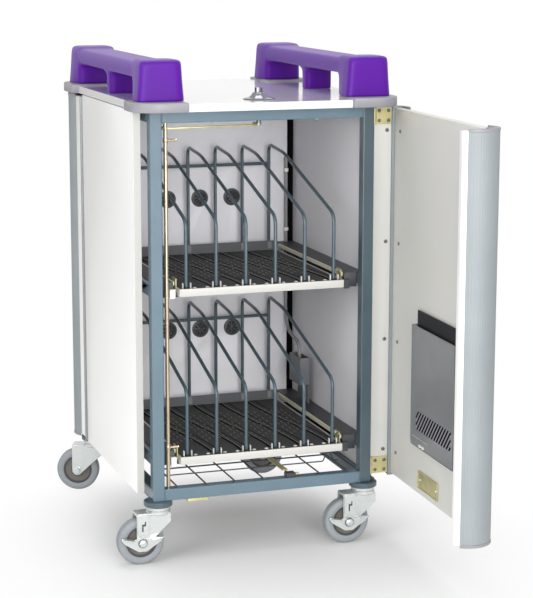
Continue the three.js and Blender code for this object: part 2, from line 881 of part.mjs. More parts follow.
const rearDoor = pivotGroup(body, rearHinge);
const rearPanel = block(
  -doorPanelHalf,
  doorPanelHalf,
  rearDoorInnerFace,
  rearDoorInnerFace + board,
  doorBottom,
  doorTop,
);
const rearStripStart = rearHinge.y + rearHingeGap;
place('rear_door_panel', rearPanel, whiteBoard, rearDoor);
place('rear_door_hinge_column', doorColumn(-1, 1, rearColumnY), aluminium, rearDoor);
place('rear_door_free_column', doorColumn(1, 1, rearColumnY), aluminium, rearDoor);
place('rear_door_hinge_strip', doorStrip(-1, rearStripStart, rearStripEnd), whiteBoard, rearDoor);
place('rear_door_free_strip', doorStrip(1, rearFreeStripStart, rearStripEnd), whiteBoard, rearDoor);
place('rear_hinge_moving_leaf', rearHingeMoving(), zinc, rearDoor);

// Lock
function escutcheon() {
  const base = topFace + gap;
  const bore = spindleRadius + runningGap;
  const points = [
    [bore, 0],
    [lockFlangeRadius, 0],
    [lockFlangeRadius, lockFlangeHeight],
    [lockConeTopRadius * 1.7, lockFlangeHeight + 1],
    [lockConeTopRadius, lockFlangeHeight + lockConeHeight],
    [bore, lockFlangeHeight + lockConeHeight],
    [bore, 0],
  ];
  const geometry = new THREE.LatheGeometry(points.map(([r, h]) => new THREE.Vector2(r, h)), 24);
  geometry.rotateX(Math.PI / 2);
  geometry.translate(lockAxis.x, lockAxis.y, base);
  return toSolid(geometry);
}

place('lock_escutcheon', escutcheon(), chrome);

function crank(axis) {
  const arm = roundedRectangle(
    axis.x - crankWidth / 2,
    axis.x + crankWidth / 2,
    axis.y - crankWidth / 2,
    axis.y + crankLength + crankWidth / 2,
    crankWidth / 2,
  );
  const armBottom = crankTop - crankThickness;
  const pinBottom = armBottom - gap - linkThickness - 1;
  return [
    prismZ(arm, armBottom, crankTop),
    upright(axis.x, axis.y + crankLength, crankPinRadius, pinBottom, armBottom + 1, 12),
  ];
}

const knobBase = topFace + gap + lockFlangeHeight + lockConeHeight + gap;
const lockKnob = pivotGroup(body, lockAxis);
place(
  'lock_knob',
  join([
    upright(lockAxis.x, lockAxis.y, spindleRadius, crankTop - crankThickness, knobBase + 1),
    upright(lockAxis.x, lockAxis.y, lockKnobRadius, knobBase, knobBase + lockKnobHeight, 24),
    ...crank(lockAxis),
  ]),
  chrome,
  lockKnob,
);

const linkBottom = crankTop - crankThickness - gap - linkThickness;
const linkPivot = new THREE.Vector3(lockAxis.x, lockAxis.y + crankLength, linkBottom);

function lockLink() {
  const far = new THREE.Vector3(rodAxis.x, rodAxis.y + crankLength, linkPivot.z);
  const along = far.clone().sub(linkPivot);
  const half = crankWidth / 2;
  const bar = toSolid(
    new THREE.ExtrudeGeometry(outline(roundedRectangle(-half, along.length() + half, -half, half, half)), {
      depth: linkThickness,
      bevelEnabled: false,
    })
      .rotateZ(Math.atan2(along.y, along.x))
      .translate(linkPivot.x, linkPivot.y, linkPivot.z),
  );
  const hole = crankPinRadius + runningGap;
  const top = linkPivot.z + linkThickness + 1;
  const near = upright(linkPivot.x, linkPivot.y, hole, linkPivot.z - 1, top, 16);
  return bar.subtract(near).subtract(upright(far.x, far.y, hole, linkPivot.z - 1, top, 16));
}

const linkGroup = pivotGroup(lockKnob, linkPivot);
place('lock_link', lockLink(), zinc, linkGroup);

function lockRod() {
  const bottom = frameBottom + tube + gap;
  const top = frameTop - tube - gap;
  const pieces = [upright(rodAxis.x, rodAxis.y, lockRodRadius, bottom, top, 12), ...crank(rodAxis)];
  for (const z of [upperHook, lowerHook]) {
    const tip = rodAxis.x + lockHookLength;
    pieces.push(rod([rodAxis.x, rodAxis.y, z], [tip, rodAxis.y, z], lockRodRadius, 12));
  }
  return join(pieces);
}

const rodGroup = pivotGroup(body, rodAxis);
place('lock_rod', lockRod(), zinc, rodGroup);

// Castors
function castorFork(axis) {
  const top = castorPlateBottom - gap;
  const headBottom = top - forkHeadHeight;
  const axleX = axis.x - castorTrail;
  const legInner = wheelWidth / 2 + forkClearance;
  const legOuter = legInner + forkSheet;
  const heel = axis.x + forkHeadRadius - forkSheet;
  const toe = axleX - forkEyeRadius;
  const leg = [
    [toe, headBottom],
    ...arcPoints(axleX, wheelRadius, forkEyeRadius, 180, 320, 7),
    [heel, headBottom - forkHeel],
    [heel, headBottom],
  ];
  const pieces = [
    upright(axis.x, axis.y, forkHeadRadius, headBottom - 1, top, 20),
    block(toe, heel, axis.y - legOuter, axis.y + legOuter, headBottom - forkBridge, headBottom),
  ];
  for (const side of [-1, 1]) {
    const inner = axis.y + side * legInner;
    const outer = axis.y + side * legOuter;
    pieces.push(prismY(leg, Math.min(inner, outer), Math.max(inner, outer)));
    const head = axis.y + side * (legOuter + axleHeadLength);
    pieces.push(rod([axleX, outer - side, wheelRadius], [axleX, head, wheelRadius], axleHeadRadius, 16));
  }
  const axleEnd = legOuter - 1;
  const axleFront = axis.y - axleEnd;
  const axleRear = axis.y + axleEnd;
  pieces.push(rod([axleX, axleFront, wheelRadius], [axleX, axleRear, wheelRadius], axleRadius, 16));
  return join(pieces);
}

function castorWheel(axis) {
  const half = wheelWidth / 2;
  const tread = arcPoints(wheelRadius - wheelRound, half - wheelRound, wheelRound, 90, 0, 2);
  const face = [
    [wheelBore, half],
    [hubRadius * 0.4, half],
    [hubRadius * 0.45, half - hubRecess],
    [hubRadius, half - hubRecess],
    [hubRadius + 2, half],
  ];
  const side = [...face, ...tread];
  const mirrored = side.map(([r, h]) => [r, -h]).reverse();
  const points = [...side, ...mirrored, side[0]].reverse();
  const geometry = new THREE.LatheGeometry(points.map(([r, h]) => new THREE.Vector2(r, h)), 24);
  geometry.translate(axis.x - castorTrail, axis.y, wheelRadius);
  return toSolid(geometry);
}

// The pedal is a winged plate on the axle's front end, with a tread bent forward on each wing
function brakePedal(axis) {
  const axleX = axis.x - castorTrail;
  const plateRear = axis.y - wheelWidth / 2 - forkClearance - forkSheet - gap;
  const plateFront = plateRear - pedalThickness;
  const eyeRadius = axleHeadRadius + gap;
  const rim = eyeRadius + pedalThickness;
  const wing = [
    ...arcPoints(0, 0, rim, 210, 330, 6),
    [pedalReach * 0.85, rim * 0.3],
    [pedalReach, rim],
    [pedalReach * 0.9, rim + pedalThickness],
    ...arcPoints(0, 0, rim, 60, 120, 4),
    [-pedalReach * 0.9, rim + pedalThickness],
    [-pedalReach, rim],
    [-pedalReach * 0.85, rim * 0.3],
  ];
  const plate = prismY(wing.map(([x, z]) => [axleX + x, wheelRadius + z]), plateFront, plateRear);
  const treads = [-1, 1].map((side) => {
    const inner = axleX + side * rim;
    const outer = axleX + side * pedalReach * 0.9;
    const top = wheelRadius + rim + pedalThickness / 2;
    return block(inner, outer, plateFront - pedalTread, plateRear, top - pedalThickness, top);
  });
  const eye = rod(
    [axleX, plateFront - pedalTread - 1, wheelRadius],
    [axleX, plateRear + 1, wheelRadius],
    eyeRadius,
    16,
  );
  return join([plate, ...treads]).subtract(eye);
}

for (const [end, y] of [['front', castorInset], ['rear', frameDepth - castorInset]]) {
  for (const [hand, side] of [['left', -1], ['right', 1]]) {
    const corner = `${end}_${hand}`;
    const axis = new THREE.Vector3(side * (frameHalf - castorInset), y, castorPlateBottom);
    const axle = new THREE.Vector3(axis.x - castorTrail, y, wheelRadius);
    const swivel = pivotGroup(body, axis);
    swivel.rotation.z = THREE.MathUtils.degToRad(castorTurns[corner]);
    place(`${corner}_castor_fork`, castorFork(axis), brightSteel, swivel);
    const spin = pivotGroup(swivel, axle);
    place(`${corner}_castor_wheel`, castorWheel(axis), greyRubber, spin);
    if (end === 'front') {
      const press = pivotGroup(swivel, axle);
      place(`${corner}_brake_pedal`, brakePedal(axis), brightSteel, press);
    }
  }
}

// The footprint's middle becomes the origin, with the wheels on the floor
cart.updateMatrixWorld(true);
const bounds = new THREE.Box3().setFromObject(cart, true);
const middle = bounds.getCenter(new THREE.Vector3());
cart.position.set(-middle.x, -middle.y, -bounds.min.z);
cart.updateMatrixWorld(true);

export default cart;
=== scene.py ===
"""Looks of a laptop charging cart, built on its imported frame.

Sizes are drawn in millimetres on the cart's datum: the middle of its width, the front of its
steel posts and the floor. Each sub-assembly is a class that draws its pieces and dresses them.
Offsets of a few tenths of a millimetre keep a fitting's faces clear of the solids beside them.
"""

import json
import logging
import math
from dataclasses import dataclass, field, replace
from enum import Enum
from typing import Optional, Sequence

import bmesh
import bpy
from mathutils import Matrix, Vector


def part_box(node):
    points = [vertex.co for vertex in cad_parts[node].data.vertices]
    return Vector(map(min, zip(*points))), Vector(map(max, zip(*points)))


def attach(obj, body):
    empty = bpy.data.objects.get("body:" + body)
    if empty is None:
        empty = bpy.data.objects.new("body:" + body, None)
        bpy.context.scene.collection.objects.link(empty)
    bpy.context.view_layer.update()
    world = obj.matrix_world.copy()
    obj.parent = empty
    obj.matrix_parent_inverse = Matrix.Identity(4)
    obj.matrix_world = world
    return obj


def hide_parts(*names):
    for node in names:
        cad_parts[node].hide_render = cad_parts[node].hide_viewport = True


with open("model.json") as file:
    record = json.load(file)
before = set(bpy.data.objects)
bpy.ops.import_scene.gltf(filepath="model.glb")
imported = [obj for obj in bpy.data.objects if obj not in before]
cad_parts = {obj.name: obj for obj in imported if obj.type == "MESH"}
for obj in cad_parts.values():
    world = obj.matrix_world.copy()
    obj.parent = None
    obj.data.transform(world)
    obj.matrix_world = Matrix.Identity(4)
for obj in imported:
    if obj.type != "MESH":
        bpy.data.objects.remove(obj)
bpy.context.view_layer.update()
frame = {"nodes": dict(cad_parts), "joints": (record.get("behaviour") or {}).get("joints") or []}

LOG = logging.getLogger("charging_cart")
MM = 0.001
PHOTO_HEIGHT = 598
SENSOR_WIDTH = 36.0

ROOT = "cart_frame"
SIDES = ((-1, "left"), (1, "right"))
CORNERS = ("front_left", "front_right", "rear_left", "rear_right")
RAILS = ("front_top_rail", "front_bottom_rail", "rear_top_rail", "rear_bottom_rail")

SHARP_ANGLE = math.radians(35)
PLAIN_ANGLE = math.radians(1.5)
EDGE_SEGMENTS = 2
WELD_REACH = 1e-4
COAT_ROUGHNESS = 0.12
GRAIN_DEPTH = 0.0005
BOARD_EASE = 0.8

Point = Sequence[float]
Outline = list[tuple[float, float]]


class Axis(Enum):
    """Direction in which an outline is drawn out or a profile is turned."""

    X = 0
    Y = 1
    Z = 2


class Grain(Enum):
    """Surface texture of a finish, as stretch factors of its noise along X, Y and Z."""

    EVEN = (1.0, 1.0, 1.0)
    ALONG_Z = (1.0, 1.0, 0.02)


def linear(code: str) -> tuple[float, float, float, float]:
    """Turn a colour as it is seen into the shader's linear values.

    Args:
        code: Six hexadecimal digits of red, green and blue.

    Returns:
        Linear red, green, blue and an alpha of one.
    """
    channels = [int(code[i:i + 2], 16) / 255 for i in (0, 2, 4)]
    values = [c / 12.92 if c <= 0.04045 else ((c + 0.055) / 1.055) ** 2.4 for c in channels]
    return (*values, 1.0)


def set_inputs(node: bpy.types.Node, **values: object) -> None:
    """Set a shader node's inputs, with the spaces in their names written as underscores."""
    for name, value in values.items():
        node.inputs[name.replace("_", " ")].default_value = value


def add_node(tree: bpy.types.NodeTree, kind: str, **values: object) -> bpy.types.Node:
    """Add a shader node and set its inputs.

    Args:
        tree: The node tree.
        kind: The node's type, without the prefix that all shader nodes share.
        values: The inputs' values, as for set_inputs.

    Returns:
        The new node.
    """
    node = tree.nodes.new(f"ShaderNode{kind}")
    set_inputs(node, **values)
    return node


def add_math(
    tree: bpy.types.NodeTree, kind: str, first: bpy.types.NodeSocket, second: bpy.types.NodeSocket,
) -> bpy.types.NodeSocket:
    """Add a maths node that takes two sockets.

    Args:
        tree: The node tree.
        kind: What the node does with the two.
        first: The first socket.
        second: The second socket.

    Returns:
        The result.
    """
    node = add_node(tree, "Math")
    node.operation = kind
    tree.links.new(first, node.inputs[0])
    tree.links.new(second, node.inputs[1])
    return node.outputs["Value"]


@dataclass(frozen=True)
class Finish:
    """One material of the cart, made of nodes.

    The colour drifts between two tones in soft patches, the roughness drifts round its value, and a fine
    grain gives the surface its relief. Where asked, raised edges are lightened as a painted highlight.
    """

    name: str
    slot: str
    colour: str
    roughness: float
    metallic: float = 0.0
    tone: float = 0.06
    patches: float = 9.0
    grain: Grain = Grain.EVEN
    grain_scale: float = 900.0
    relief: float = 0.06
    polish_drift: float = 0.06
    coat: float = 0.0
    specular: float = 0.5
    sheen: float = 0.0
    # Painted highlight: how much the raised edges are lightened.
    highlight_tone: float = 0.0

    def material(self) -> bpy.types.Material:
        """Return this finish's material, made on first use."""
        made = bpy.data.materials.get(f"{self.name}_look")
        return made if made else self._make()

    def _make(self) -> bpy.types.Material:
        """Build the material's node tree.

        Returns:
            The new material.
        """
        material = bpy.data.materials.new(f"{self.name}_look")
        material.use_nodes = True
        tree = material.node_tree
        link = tree.links.new
        shader = tree.nodes["Principled BSDF"]
        set_inputs(
            shader, Metallic=self.metallic, Coat_Weight=self.coat, Coat_Roughness=COAT_ROUGHNESS,
            Specular_IOR_Level=self.specular, Sheen_Weight=self.sheen,
        )
        place = add_node(tree, "TexCoord").outputs["Object"]
        stretch = add_node(tree, "Mapping", Scale=self.grain.value)
        patch = add_node(tree, "TexNoise", Scale=self.patches, Detail=5.0)
        fine = add_node(tree, "TexNoise", Scale=self.grain_scale, Detail=3.0)
        link(place, stretch.inputs["Vector"])
        link(place, patch.inputs["Vector"])
        link(stretch.outputs["Vector"], fine.inputs["Vector"])
        grain = fine.outputs["Fac"]

        colour = self._tones(tree, patch.outputs["Fac"], grain)
        # Raised edges get a painted highlight.
        if self.highlight_tone:
            colour = self._lit_edges(tree, colour)
        link(colour, shader.inputs["Base Color"])

        smoothest = max(self.roughness - self.polish_drift, 0.02)
        roughest = min(self.roughness + self.polish_drift, 1.0)
        rough = add_node(tree, "MapRange", To_Min=smoothest, To_Max=roughest)
        link(grain, rough.inputs["Value"])
        link(rough.outputs["Result"], shader.inputs["Roughness"])

        bump = add_node(tree, "Bump", Strength=self.relief, Distance=GRAIN_DEPTH)
        link(grain, bump.inputs["Height"])
        link(bump.outputs["Normal"], shader.inputs["Normal"])
        return material

    def _tones(
        self, tree: bpy.types.NodeTree, patch: bpy.types.NodeSocket, grain: bpy.types.NodeSocket,
    ) -> bpy.types.NodeSocket:
        """Let the colour drift between a darker and a lighter tone.

        Args:
            tree: The node tree being made.
            patch: The noise of the soft patches.
            grain: The fine noise.

        Returns:
            The colour.
        """
        blend = add_node(tree, "Mix", Factor=0.45)
        tree.links.new(patch, blend.inputs["A"])
        tree.links.new(grain, blend.inputs["B"])
        ramp = add_node(tree, "ValToRGB")
        tree.links.new(blend.outputs["Result"], ramp.inputs["Fac"])
        base = Vector(linear(self.colour)[:3])
        dark, light = ramp.color_ramp.elements
        dark.position, light.position = 0.3, 0.7
        dark.color = (*(base * (1 - self.tone)), 1)
        light.color = (*(base * (1 + self.tone / 2)), 1)
        return ramp.outputs["Color"]

    def _lit_edges(self, tree: bpy.types.NodeTree, colour: bpy.types.NodeSocket) -> bpy.types.NodeSocket:
        """Lighten the colour along raised edges: a painted highlight where the edges catch the light.

        Args:
            tree: The node tree being made.
            colour: The colour away from the edges.

        Returns:
            The colour with its edges.
        """
        shape = add_node(tree, "NewGeometry")
        band = add_node(tree, "MapRange", From_Min=0.52, From_Max=0.62, To_Max=self.highlight_tone)
        tree.links.new(shape.outputs["Pointiness"], band.inputs["Value"])
        mix = add_node(tree, "Mix")
        mix.data_type = "RGBA"
        lighter = Vector(linear(self.colour)[:3]) * 1.6 + Vector((0.05, 0.05, 0.05))
        set_inputs(mix, B=(*lighter, 1))
        tree.links.new(band.outputs["Result"], mix.inputs["Factor"])
        tree.links.new(colour, mix.inputs["A"])
        return mix.outputs["Result"]


FRAME_PAINT = Finish(
    "frame_paint", "frame_paint", "576D79", 0.26,
    tone=0.16, patches=14, relief=0.10, coat=0.35, highlight_tone=0.35,
)
# A darker copy of the frame paint: painted shade on the right side frame and on the castor plate covers under
# the frame.
FRAME_PAINTED_SHADE = replace(FRAME_PAINT, name="frame_painted_shade", colour="3F4F57", roughness=0.3, coat=0.25)
WHITE_LAMINATE = Finish("white_laminate", "white_board", "F3F3F1", 0.36, tone=0.02, relief=0.04, coat=0.1)
TOP_LAMINATE = Finish("top_laminate", "white_board", "DEDEDE", 0.14, tone=0.015, relief=0.02, coat=0.5)
DOOR_LAMINATE = Finish("door_laminate", "door_board", "D6D5D0", 0.45, tone=0.03, relief=0.05)
BACK_LAMINATE = Finish("back_laminate", "grey_board", "E4E3E7", 0.5, tone=0.04, relief=0.06)
COLUMN_METAL = Finish(
    "column_metal", "column_aluminium", "92989B", 0.6,
    metallic=0.2, tone=0.1, grain=Grain.ALONG_Z, relief=0.12,
)
HINGE_METAL = Finish(
    "hinge_metal", "column_aluminium", "8F9294", 0.4,
    metallic=0.4, tone=0.08, grain=Grain.ALONG_Z, relief=0.1,
)
CAP_PLASTIC = Finish("cap_plastic", "cap_plastic", "8E8D93", 0.42, tone=0.05, grain_scale=1400, relief=0.14)
PURPLE_PLASTIC = Finish(
    "purple_plastic", "purple_plastic", "540991", 0.42,
    tone=0.10, grain_scale=1500, relief=0.10, specular=0.2, sheen=0.12,
)
YELLOW_ZINC = Finish(
    "yellow_zinc", "yellow_zinc", "CFC692", 0.32, metallic=0.5, tone=0.22, patches=45, relief=0.10,
)
ROD_ZINC = Finish(
    "rod_zinc", "yellow_zinc", "CDBBA2", 0.2, metallic=0.8, tone=0.15, patches=45, relief=0.05,
)
SCREW_STEEL = Finish(
    "screw_steel", "bright_zinc", "77787A", 0.3, metallic=0.7, tone=0.12, patches=40, relief=0.08,
)
BRIGHT_ZINC = Finish(
    "bright_zinc", "bright_zinc", "D3D7D6", 0.25, metallic=0.65, tone=0.05, patches=40, relief=0.05,
)
CHROME = Finish("chrome", "chrome", "8A8B90", 0.12, metallic=1.0, tone=0.05, relief=0.02, polish_drift=0.03)
TRAY_PAINT = Finish("tray_paint", "tray_steel", "BDBCB7", 0.4, tone=0.04, relief=0.10, highlight_tone=0.2)
LIP_PAINT = Finish("lip_paint", "tray_steel", "5C5E61", 0.42, tone=0.08, relief=0.10)
MAT_PLASTIC = Finish(
    "mat_plastic", "mat_rubber", "434444", 0.65, tone=0.22, patches=30, relief=0.25, specular=0.25,
)
# Near black, painted shade: it stands for the dark inside of grooves, slots and gaps.
GROOVE_SHADE = Finish("groove_painted_shade", "mat_rubber", "070707", 0.85, tone=0.1, relief=0.1, specular=0.08)
# Lighter grey, painted highlight along the mat's grooves and on its dashes.
MAT_HIGHLIGHT = Finish("mat_painted_highlight", "mat_rubber", "7E7D74", 0.45, tone=0.2, patches=60, relief=0.2)
DIVIDER_COAT = Finish(
    "divider_coat", "divider_coat", "42535C", 0.28, tone=0.12, patches=20, relief=0.06, coat=0.35,
)
DARK_STEEL = Finish("dark_steel", "dark_steel", "3A3C40", 0.45, tone=0.15, patches=20, relief=0.12)
# The same near black, painted shade in the cable slot beside the back panel.
SLOT_SHADE = replace(GROOVE_SHADE, name="slot_painted_shade", slot="black_plastic")
BLACK_PLASTIC = Finish("black_plastic", "black_plastic", "17171A", 0.5, tone=0.15, relief=0.15)
LEAD_SHEATH = Finish("lead_sheath", "black_plastic", "8A898B", 0.5, tone=0.1, relief=0.12)
RING_PLASTIC = Finish("ring_plastic", "black_plastic", "4B4C4E", 0.45, tone=0.1, relief=0.12)
SMOKE_PLASTIC = Finish(
    "smoke_plastic", "smoke_plastic", "868889", 0.25, tone=0.12, patches=12, relief=0.05, coat=0.3,
)
HOLDER_PLASTIC = Finish("holder_plastic", "smoke_plastic", "66686C", 0.4, tone=0.1, relief=0.1)
EDGE_BAND = Finish("edge_band", "white_board", "B9B9B5", 0.4, tone=0.03, relief=0.05)
GREY_TYRE = Finish("grey_tyre", "grey_tyre", "8B9094", 0.6, tone=0.08, grain_scale=600, relief=0.2)
HUB_PLASTIC = Finish("hub_plastic", "grey_tyre", "65605B", 0.45, tone=0.12, relief=0.15)
WEAR_COAT = Finish("wear_coat", "bright_zinc", "E9E5CC", 0.35, metallic=0.2, tone=0.06, relief=0.05)
WHITE_PLASTIC = Finish("white_plastic", "tray_steel", "E4E4E0", 0.4, tone=0.04, relief=0.08)


@dataclass(frozen=True)
class Datum:
    """Where the drawing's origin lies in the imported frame, in metres."""

    x: float
    y: float

    @classmethod
    def found(cls) -> "Datum":
        """Read the datum from the front top rail."""
        low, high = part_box("front_top_rail")
        return cls((low.x + high.x) / 2, low.y)

    def matrix(self) -> Matrix:
        """Return the move from drawing millimetres to frame metres."""
        return Matrix.Translation((self.x, self.y, 0)) @ Matrix.Scale(MM, 4)

    def drawn(self, place: Point) -> Vector:
        """Return a frame point in drawing millimetres."""
        return Vector(((place[0] - self.x) / MM, (place[1] - self.y) / MM, place[2] / MM))


DATUM = Datum.found()


def joint(name: str) -> dict:
    """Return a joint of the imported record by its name."""
    return next(j for j in frame["joints"] if j["name"] == name)


def joint_place(name: str) -> Vector:
    """Return a joint's place in drawing millimetres."""
    return DATUM.drawn(joint(name)["pos_m"])


def drawn_box(node: str) -> tuple[Vector, Vector]:
    """Return a CAD node's corners in drawing millimetres."""
    low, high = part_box(node)
    return DATUM.drawn(low), DATUM.drawn(high)


def smoothstep(share: float) -> float:
    """Return a share, cut off at nought and one, with soft ends."""
    share = min(max(share, 0.0), 1.0)
    return share * share * (3 - 2 * share)


def arc(centre: Point, radius: float, start: float, end: float, steps: int) -> Outline:
    """Return the points of an arc.

    Args:
        centre: The arc's centre in the outline's plane.
        radius: The arc's radius.
        start: First angle in degrees.
        end: Last angle in degrees.
        steps: Number of chords.

    Returns:
        Points from the first angle to the last.
    """
    angles = [math.radians(start + (end - start) * i / steps) for i in range(steps + 1)]
    return [(centre[0] + radius * math.cos(a), centre[1] + radius * math.sin(a)) for a in angles]


def rounded(x0: float, x1: float, y0: float, y1: float, radius: float, steps: int = 5) -> Outline:
    """Return a rectangle's outline with round corners.

    Args:
        x0: Lowest first coordinate.
        x1: Highest first coordinate.
        y0: Lowest second coordinate.
        y1: Highest second coordinate.
        radius: Corner radius.
        steps: Chords in each corner.

    Returns:
        The outline's points, anticlockwise.
    """
    corners = (
        ((x1 - radius, y1 - radius), 0),
        ((x0 + radius, y1 - radius), 90),
        ((x0 + radius, y0 + radius), 180),
        ((x1 - radius, y0 + radius), 270),
    )
    return [p for centre, start in corners for p in arc(centre, radius, start, start + 90, steps)]


def filleted(corners: Sequence[Point], bend: float, steps: int = 6) -> list[Vector]:
    """Return a path through corners with a rounded bend at each.

    Args:
        corners: The path's ends and corners.
        bend: Length of each leg that the bend takes.
        steps: Points in each bend.

    Returns:
        The path's points.
    """
    points = [Vector(c) for c in corners]
    path = [points[0]]
    for before, corner, after in zip(points, points[1:], points[2:]):
        start = corner + (before - corner).normalized() * bend
        end = corner + (after - corner).normalized() * bend
        for i in range(steps + 1):
            t = i / steps
            path.append(start * (1 - t) ** 2 + corner * 2 * t * (1 - t) + end * t * t)
    path.append(points[-1])
    return path


def sleeve(inner: float, outer: float, low: float, high: float, ease: Point) -> Outline:
    """Return the profile of a turned sleeve with eased outer edges.

    Args:
        inner: The bore's radius, nought for a solid pin.
        outer: The outer radius.
        low: Where the sleeve starts.
        high: Where it ends.
        ease: How much the edges lose across and along.

    Returns:
        Radius and height pairs, closed round a bore.
    """
    across, along = ease
    profile = [
        (inner, low), (outer - across, low), (outer, low + along),
        (outer, high - along), (outer - across, high), (inner, high),
    ]
    return profile + [profile[0]] if inner else profile


def both_faces(profile: Outline) -> Outline:
    """Return a turned profile's one face, the same mirrored for the other face, and its start again."""
    return [*profile, *((radius, -height) for radius, height in reversed(profile)), profile[0]]


class Draft:
    """A mesh being drawn, in millimetres on the datum."""

    SCREW_DOME = ((0, 0.25), (0.34, 0.25), (0.40, 0.55), (0.62, 0.50), (0.86, 0.32), (1.0, 0.0), (0, 0.0))

    def __init__(self) -> None:
        """Start with nothing drawn."""
        self.mesh = bmesh.new()

    def box(self, low: Point, high: Point) -> "Draft":
        """Add a box.

        Args:
            low: One corner.
            high: The corner opposite.

        Returns:
            This draft.
        """
        size = [abs(b - a) for a, b in zip(low, high)]
        middle = [(a + b) / 2 for a, b in zip(low, high)]
        bmesh.ops.create_cube(
            self.mesh, size=1, matrix=Matrix.Translation(middle) @ Matrix.Diagonal((*size, 1)),
        )
        return self

    def prism(self, outline: Sequence[Point], low: float, high: float, axis: Axis = Axis.Z) -> "Draft":
        """Add an outline drawn out along an axis.

        Args:
            outline: Points in the plane of the other two axes, in X, Y, Z order.
            low: Start along the axis.
            high: End along the axis.
            axis: The direction.

        Returns:
            This draft.
        """
        rings = []
        for level in (low, high):
            ring = []
            for first, second in outline:
                place = [first, second]
                place.insert(axis.value, level)
                ring.append(self.mesh.verts.new(place))
            rings.append(ring)
            self.mesh.faces.new(ring)
        self._band(*rings, len(outline))
        return self

    def lathe(self, profile: Sequence[Point], centre: Point, axis: Axis = Axis.Z, steps: int = 32) -> "Draft":
        """Add a profile turned about an axis.

        Args:
            profile: Radius and height pairs; an end on the axis closes itself.
            centre: Where the axis starts.
            axis: Its direction, which the heights follow.
            steps: Faces round the axis.

        Returns:
            This draft.
        """
        first, second = [i for i in range(3) if i != axis.value]
        rings = []
        for radius, height in profile:
            ring = []
            for i in range(1 if radius < 1e-6 else steps):
                angle = 2 * math.pi * i / steps
                place = list(centre)
                place[first] += radius * math.cos(angle)
                place[second] += radius * math.sin(angle)
                place[axis.value] += height
                ring.append(self.mesh.verts.new(place))
            rings.append(ring)
        for lower, upper in zip(rings, rings[1:]):
            self._band(lower, upper, steps)
        return self

    def _band(self, lower: list, upper: list, steps: int) -> None:
        """Join two rings, either of which may be a single point.

        Args:
            lower: The first ring's points.
            upper: The second ring's points.
            steps: Faces round the rings.
        """
        for i in range(steps):
            j = (i + 1) % steps
            if len(lower) == 1 and len(upper) == 1:
                return
            if len(lower) == 1:
                self.mesh.faces.new((lower[0], upper[j], upper[i]))
            elif len(upper) == 1:
                self.mesh.faces.new((lower[i], lower[j], upper[0]))
            else:
                self.mesh.faces.new((lower[i], lower[j], upper[j], upper[i]))

    def sweep(self, path: Sequence[Vector], radius: float, sides: int = 12) -> "Draft":
        """Add a round wire along a path, with flat ends.

        Args:
            path: The wire's middle line.
            radius: The wire's radius.
            sides: Faces round the wire.

        Returns:
            This draft.
        """
        rings = []
        side = None
        for i, place in enumerate(path):
            last = path[max(i - 1, 0)]
            following = path[min(i + 1, len(path) - 1)]
            along = (following - last).normalized()
            if side is None:
                side = along.orthogonal().normalized()
            side = (side - along * side.dot(along)).normalized()
            other = along.cross(side)
            ring = []
            for k in range(sides):
                angle = 2 * math.pi * k / sides
                out = side * math.cos(angle) + other * math.sin(angle)
                ring.append(self.mesh.verts.new(place + out * radius))
            rings.append(ring)
        for lower, upper in zip(rings, rings[1:]):
            self._band(lower, upper, sides)
        self.mesh.faces.new(rings[0][::-1])
        self.mesh.faces.new(rings[-1])
        return self

    def rod(self, start: Point, end: Point, radius: float, sides: int = 20) -> "Draft":
        """Add a straight round rod."""
        return self.sweep([Vector(start), Vector(end)], radius, sides)

    def rim(self, outline: Outline, level: float, radius: float) -> "Draft":
        """Add a round bead along a closed outline that faces along Y."""
        edge = [Vector((x, level, z)) for x, z in outline]
        return self.sweep([*edge, edge[0], edge[1]], radius, 8)

    def screw(self, place: Point, axis: Axis, facing: int, radius: float = 4.0) -> "Draft":
        """Add a domed screw head with a socket.

        Args:
            place: Middle of the head's seat.
            axis: The screw's direction.
            facing: One or minus one, the way the head looks.
            radius: The head's radius.

        Returns:
            This draft.
        """
        profile = [(r * radius, h * radius * facing) for r, h in self.SCREW_DOME]
        return self.lathe(profile, place, axis, 14)

    def piece(
        self,
        name: str,
        finish: Finish,
        body: str = ROOT,
        ease: float = 0.0,
        placement: Optional[Matrix] = None,
        stands_for: str = "",
    ) -> bpy.types.Object:
        """Turn the draft into a finished piece of the cart.

        Args:
            name: The piece's name.
            finish: Its material.
            body: The CAD body that it rides on.
            ease: Width of its rounded edges, in millimetres.
            placement: A last move, in drawing millimetres.
            stands_for: The CAD node that it replaces.

        Returns:
            The new object.
        """
        bmesh.ops.remove_doubles(self.mesh, verts=self.mesh.verts, dist=1e-4)
        bmesh.ops.recalc_face_normals(self.mesh, faces=self.mesh.faces)
        if placement:
            bmesh.ops.transform(self.mesh, matrix=placement, verts=self.mesh.verts)
        bmesh.ops.transform(self.mesh, matrix=DATUM.matrix(), verts=self.mesh.verts)
        mesh = bpy.data.meshes.new(name)
        self.mesh.to_mesh(mesh)
        self.mesh.free()
        for face in mesh.polygons:
            face.use_smooth = True
        mesh.set_sharp_from_angle(angle=SHARP_ANGLE)
        mesh.materials.append(finish.material())
        piece = bpy.data.objects.new(name, mesh)
        bpy.context.scene.collection.objects.link(piece)
        if ease:
            round_edges(piece, ease)
        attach(piece, body)
        if stands_for:
            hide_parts(stands_for)
        LOG.info("piece %s on %s", piece.name, body)
        return piece


def round_edges(piece: bpy.types.Object, width: float) -> bpy.types.BevelModifier:
    """Round an object's sharp edges by a modifier.

    Args:
        piece: The object.
        width: The rounded edges' width, in millimetres.

    Returns:
        The modifier.
    """
    bevel = piece.modifiers.new("eased_edges", "BEVEL")
    bevel.width = width * MM
    bevel.segments = EDGE_SEGMENTS
    bevel.limit_method = "ANGLE"
    bevel.angle_limit = SHARP_ANGLE
    bevel.harden_normals = True
    return bevel


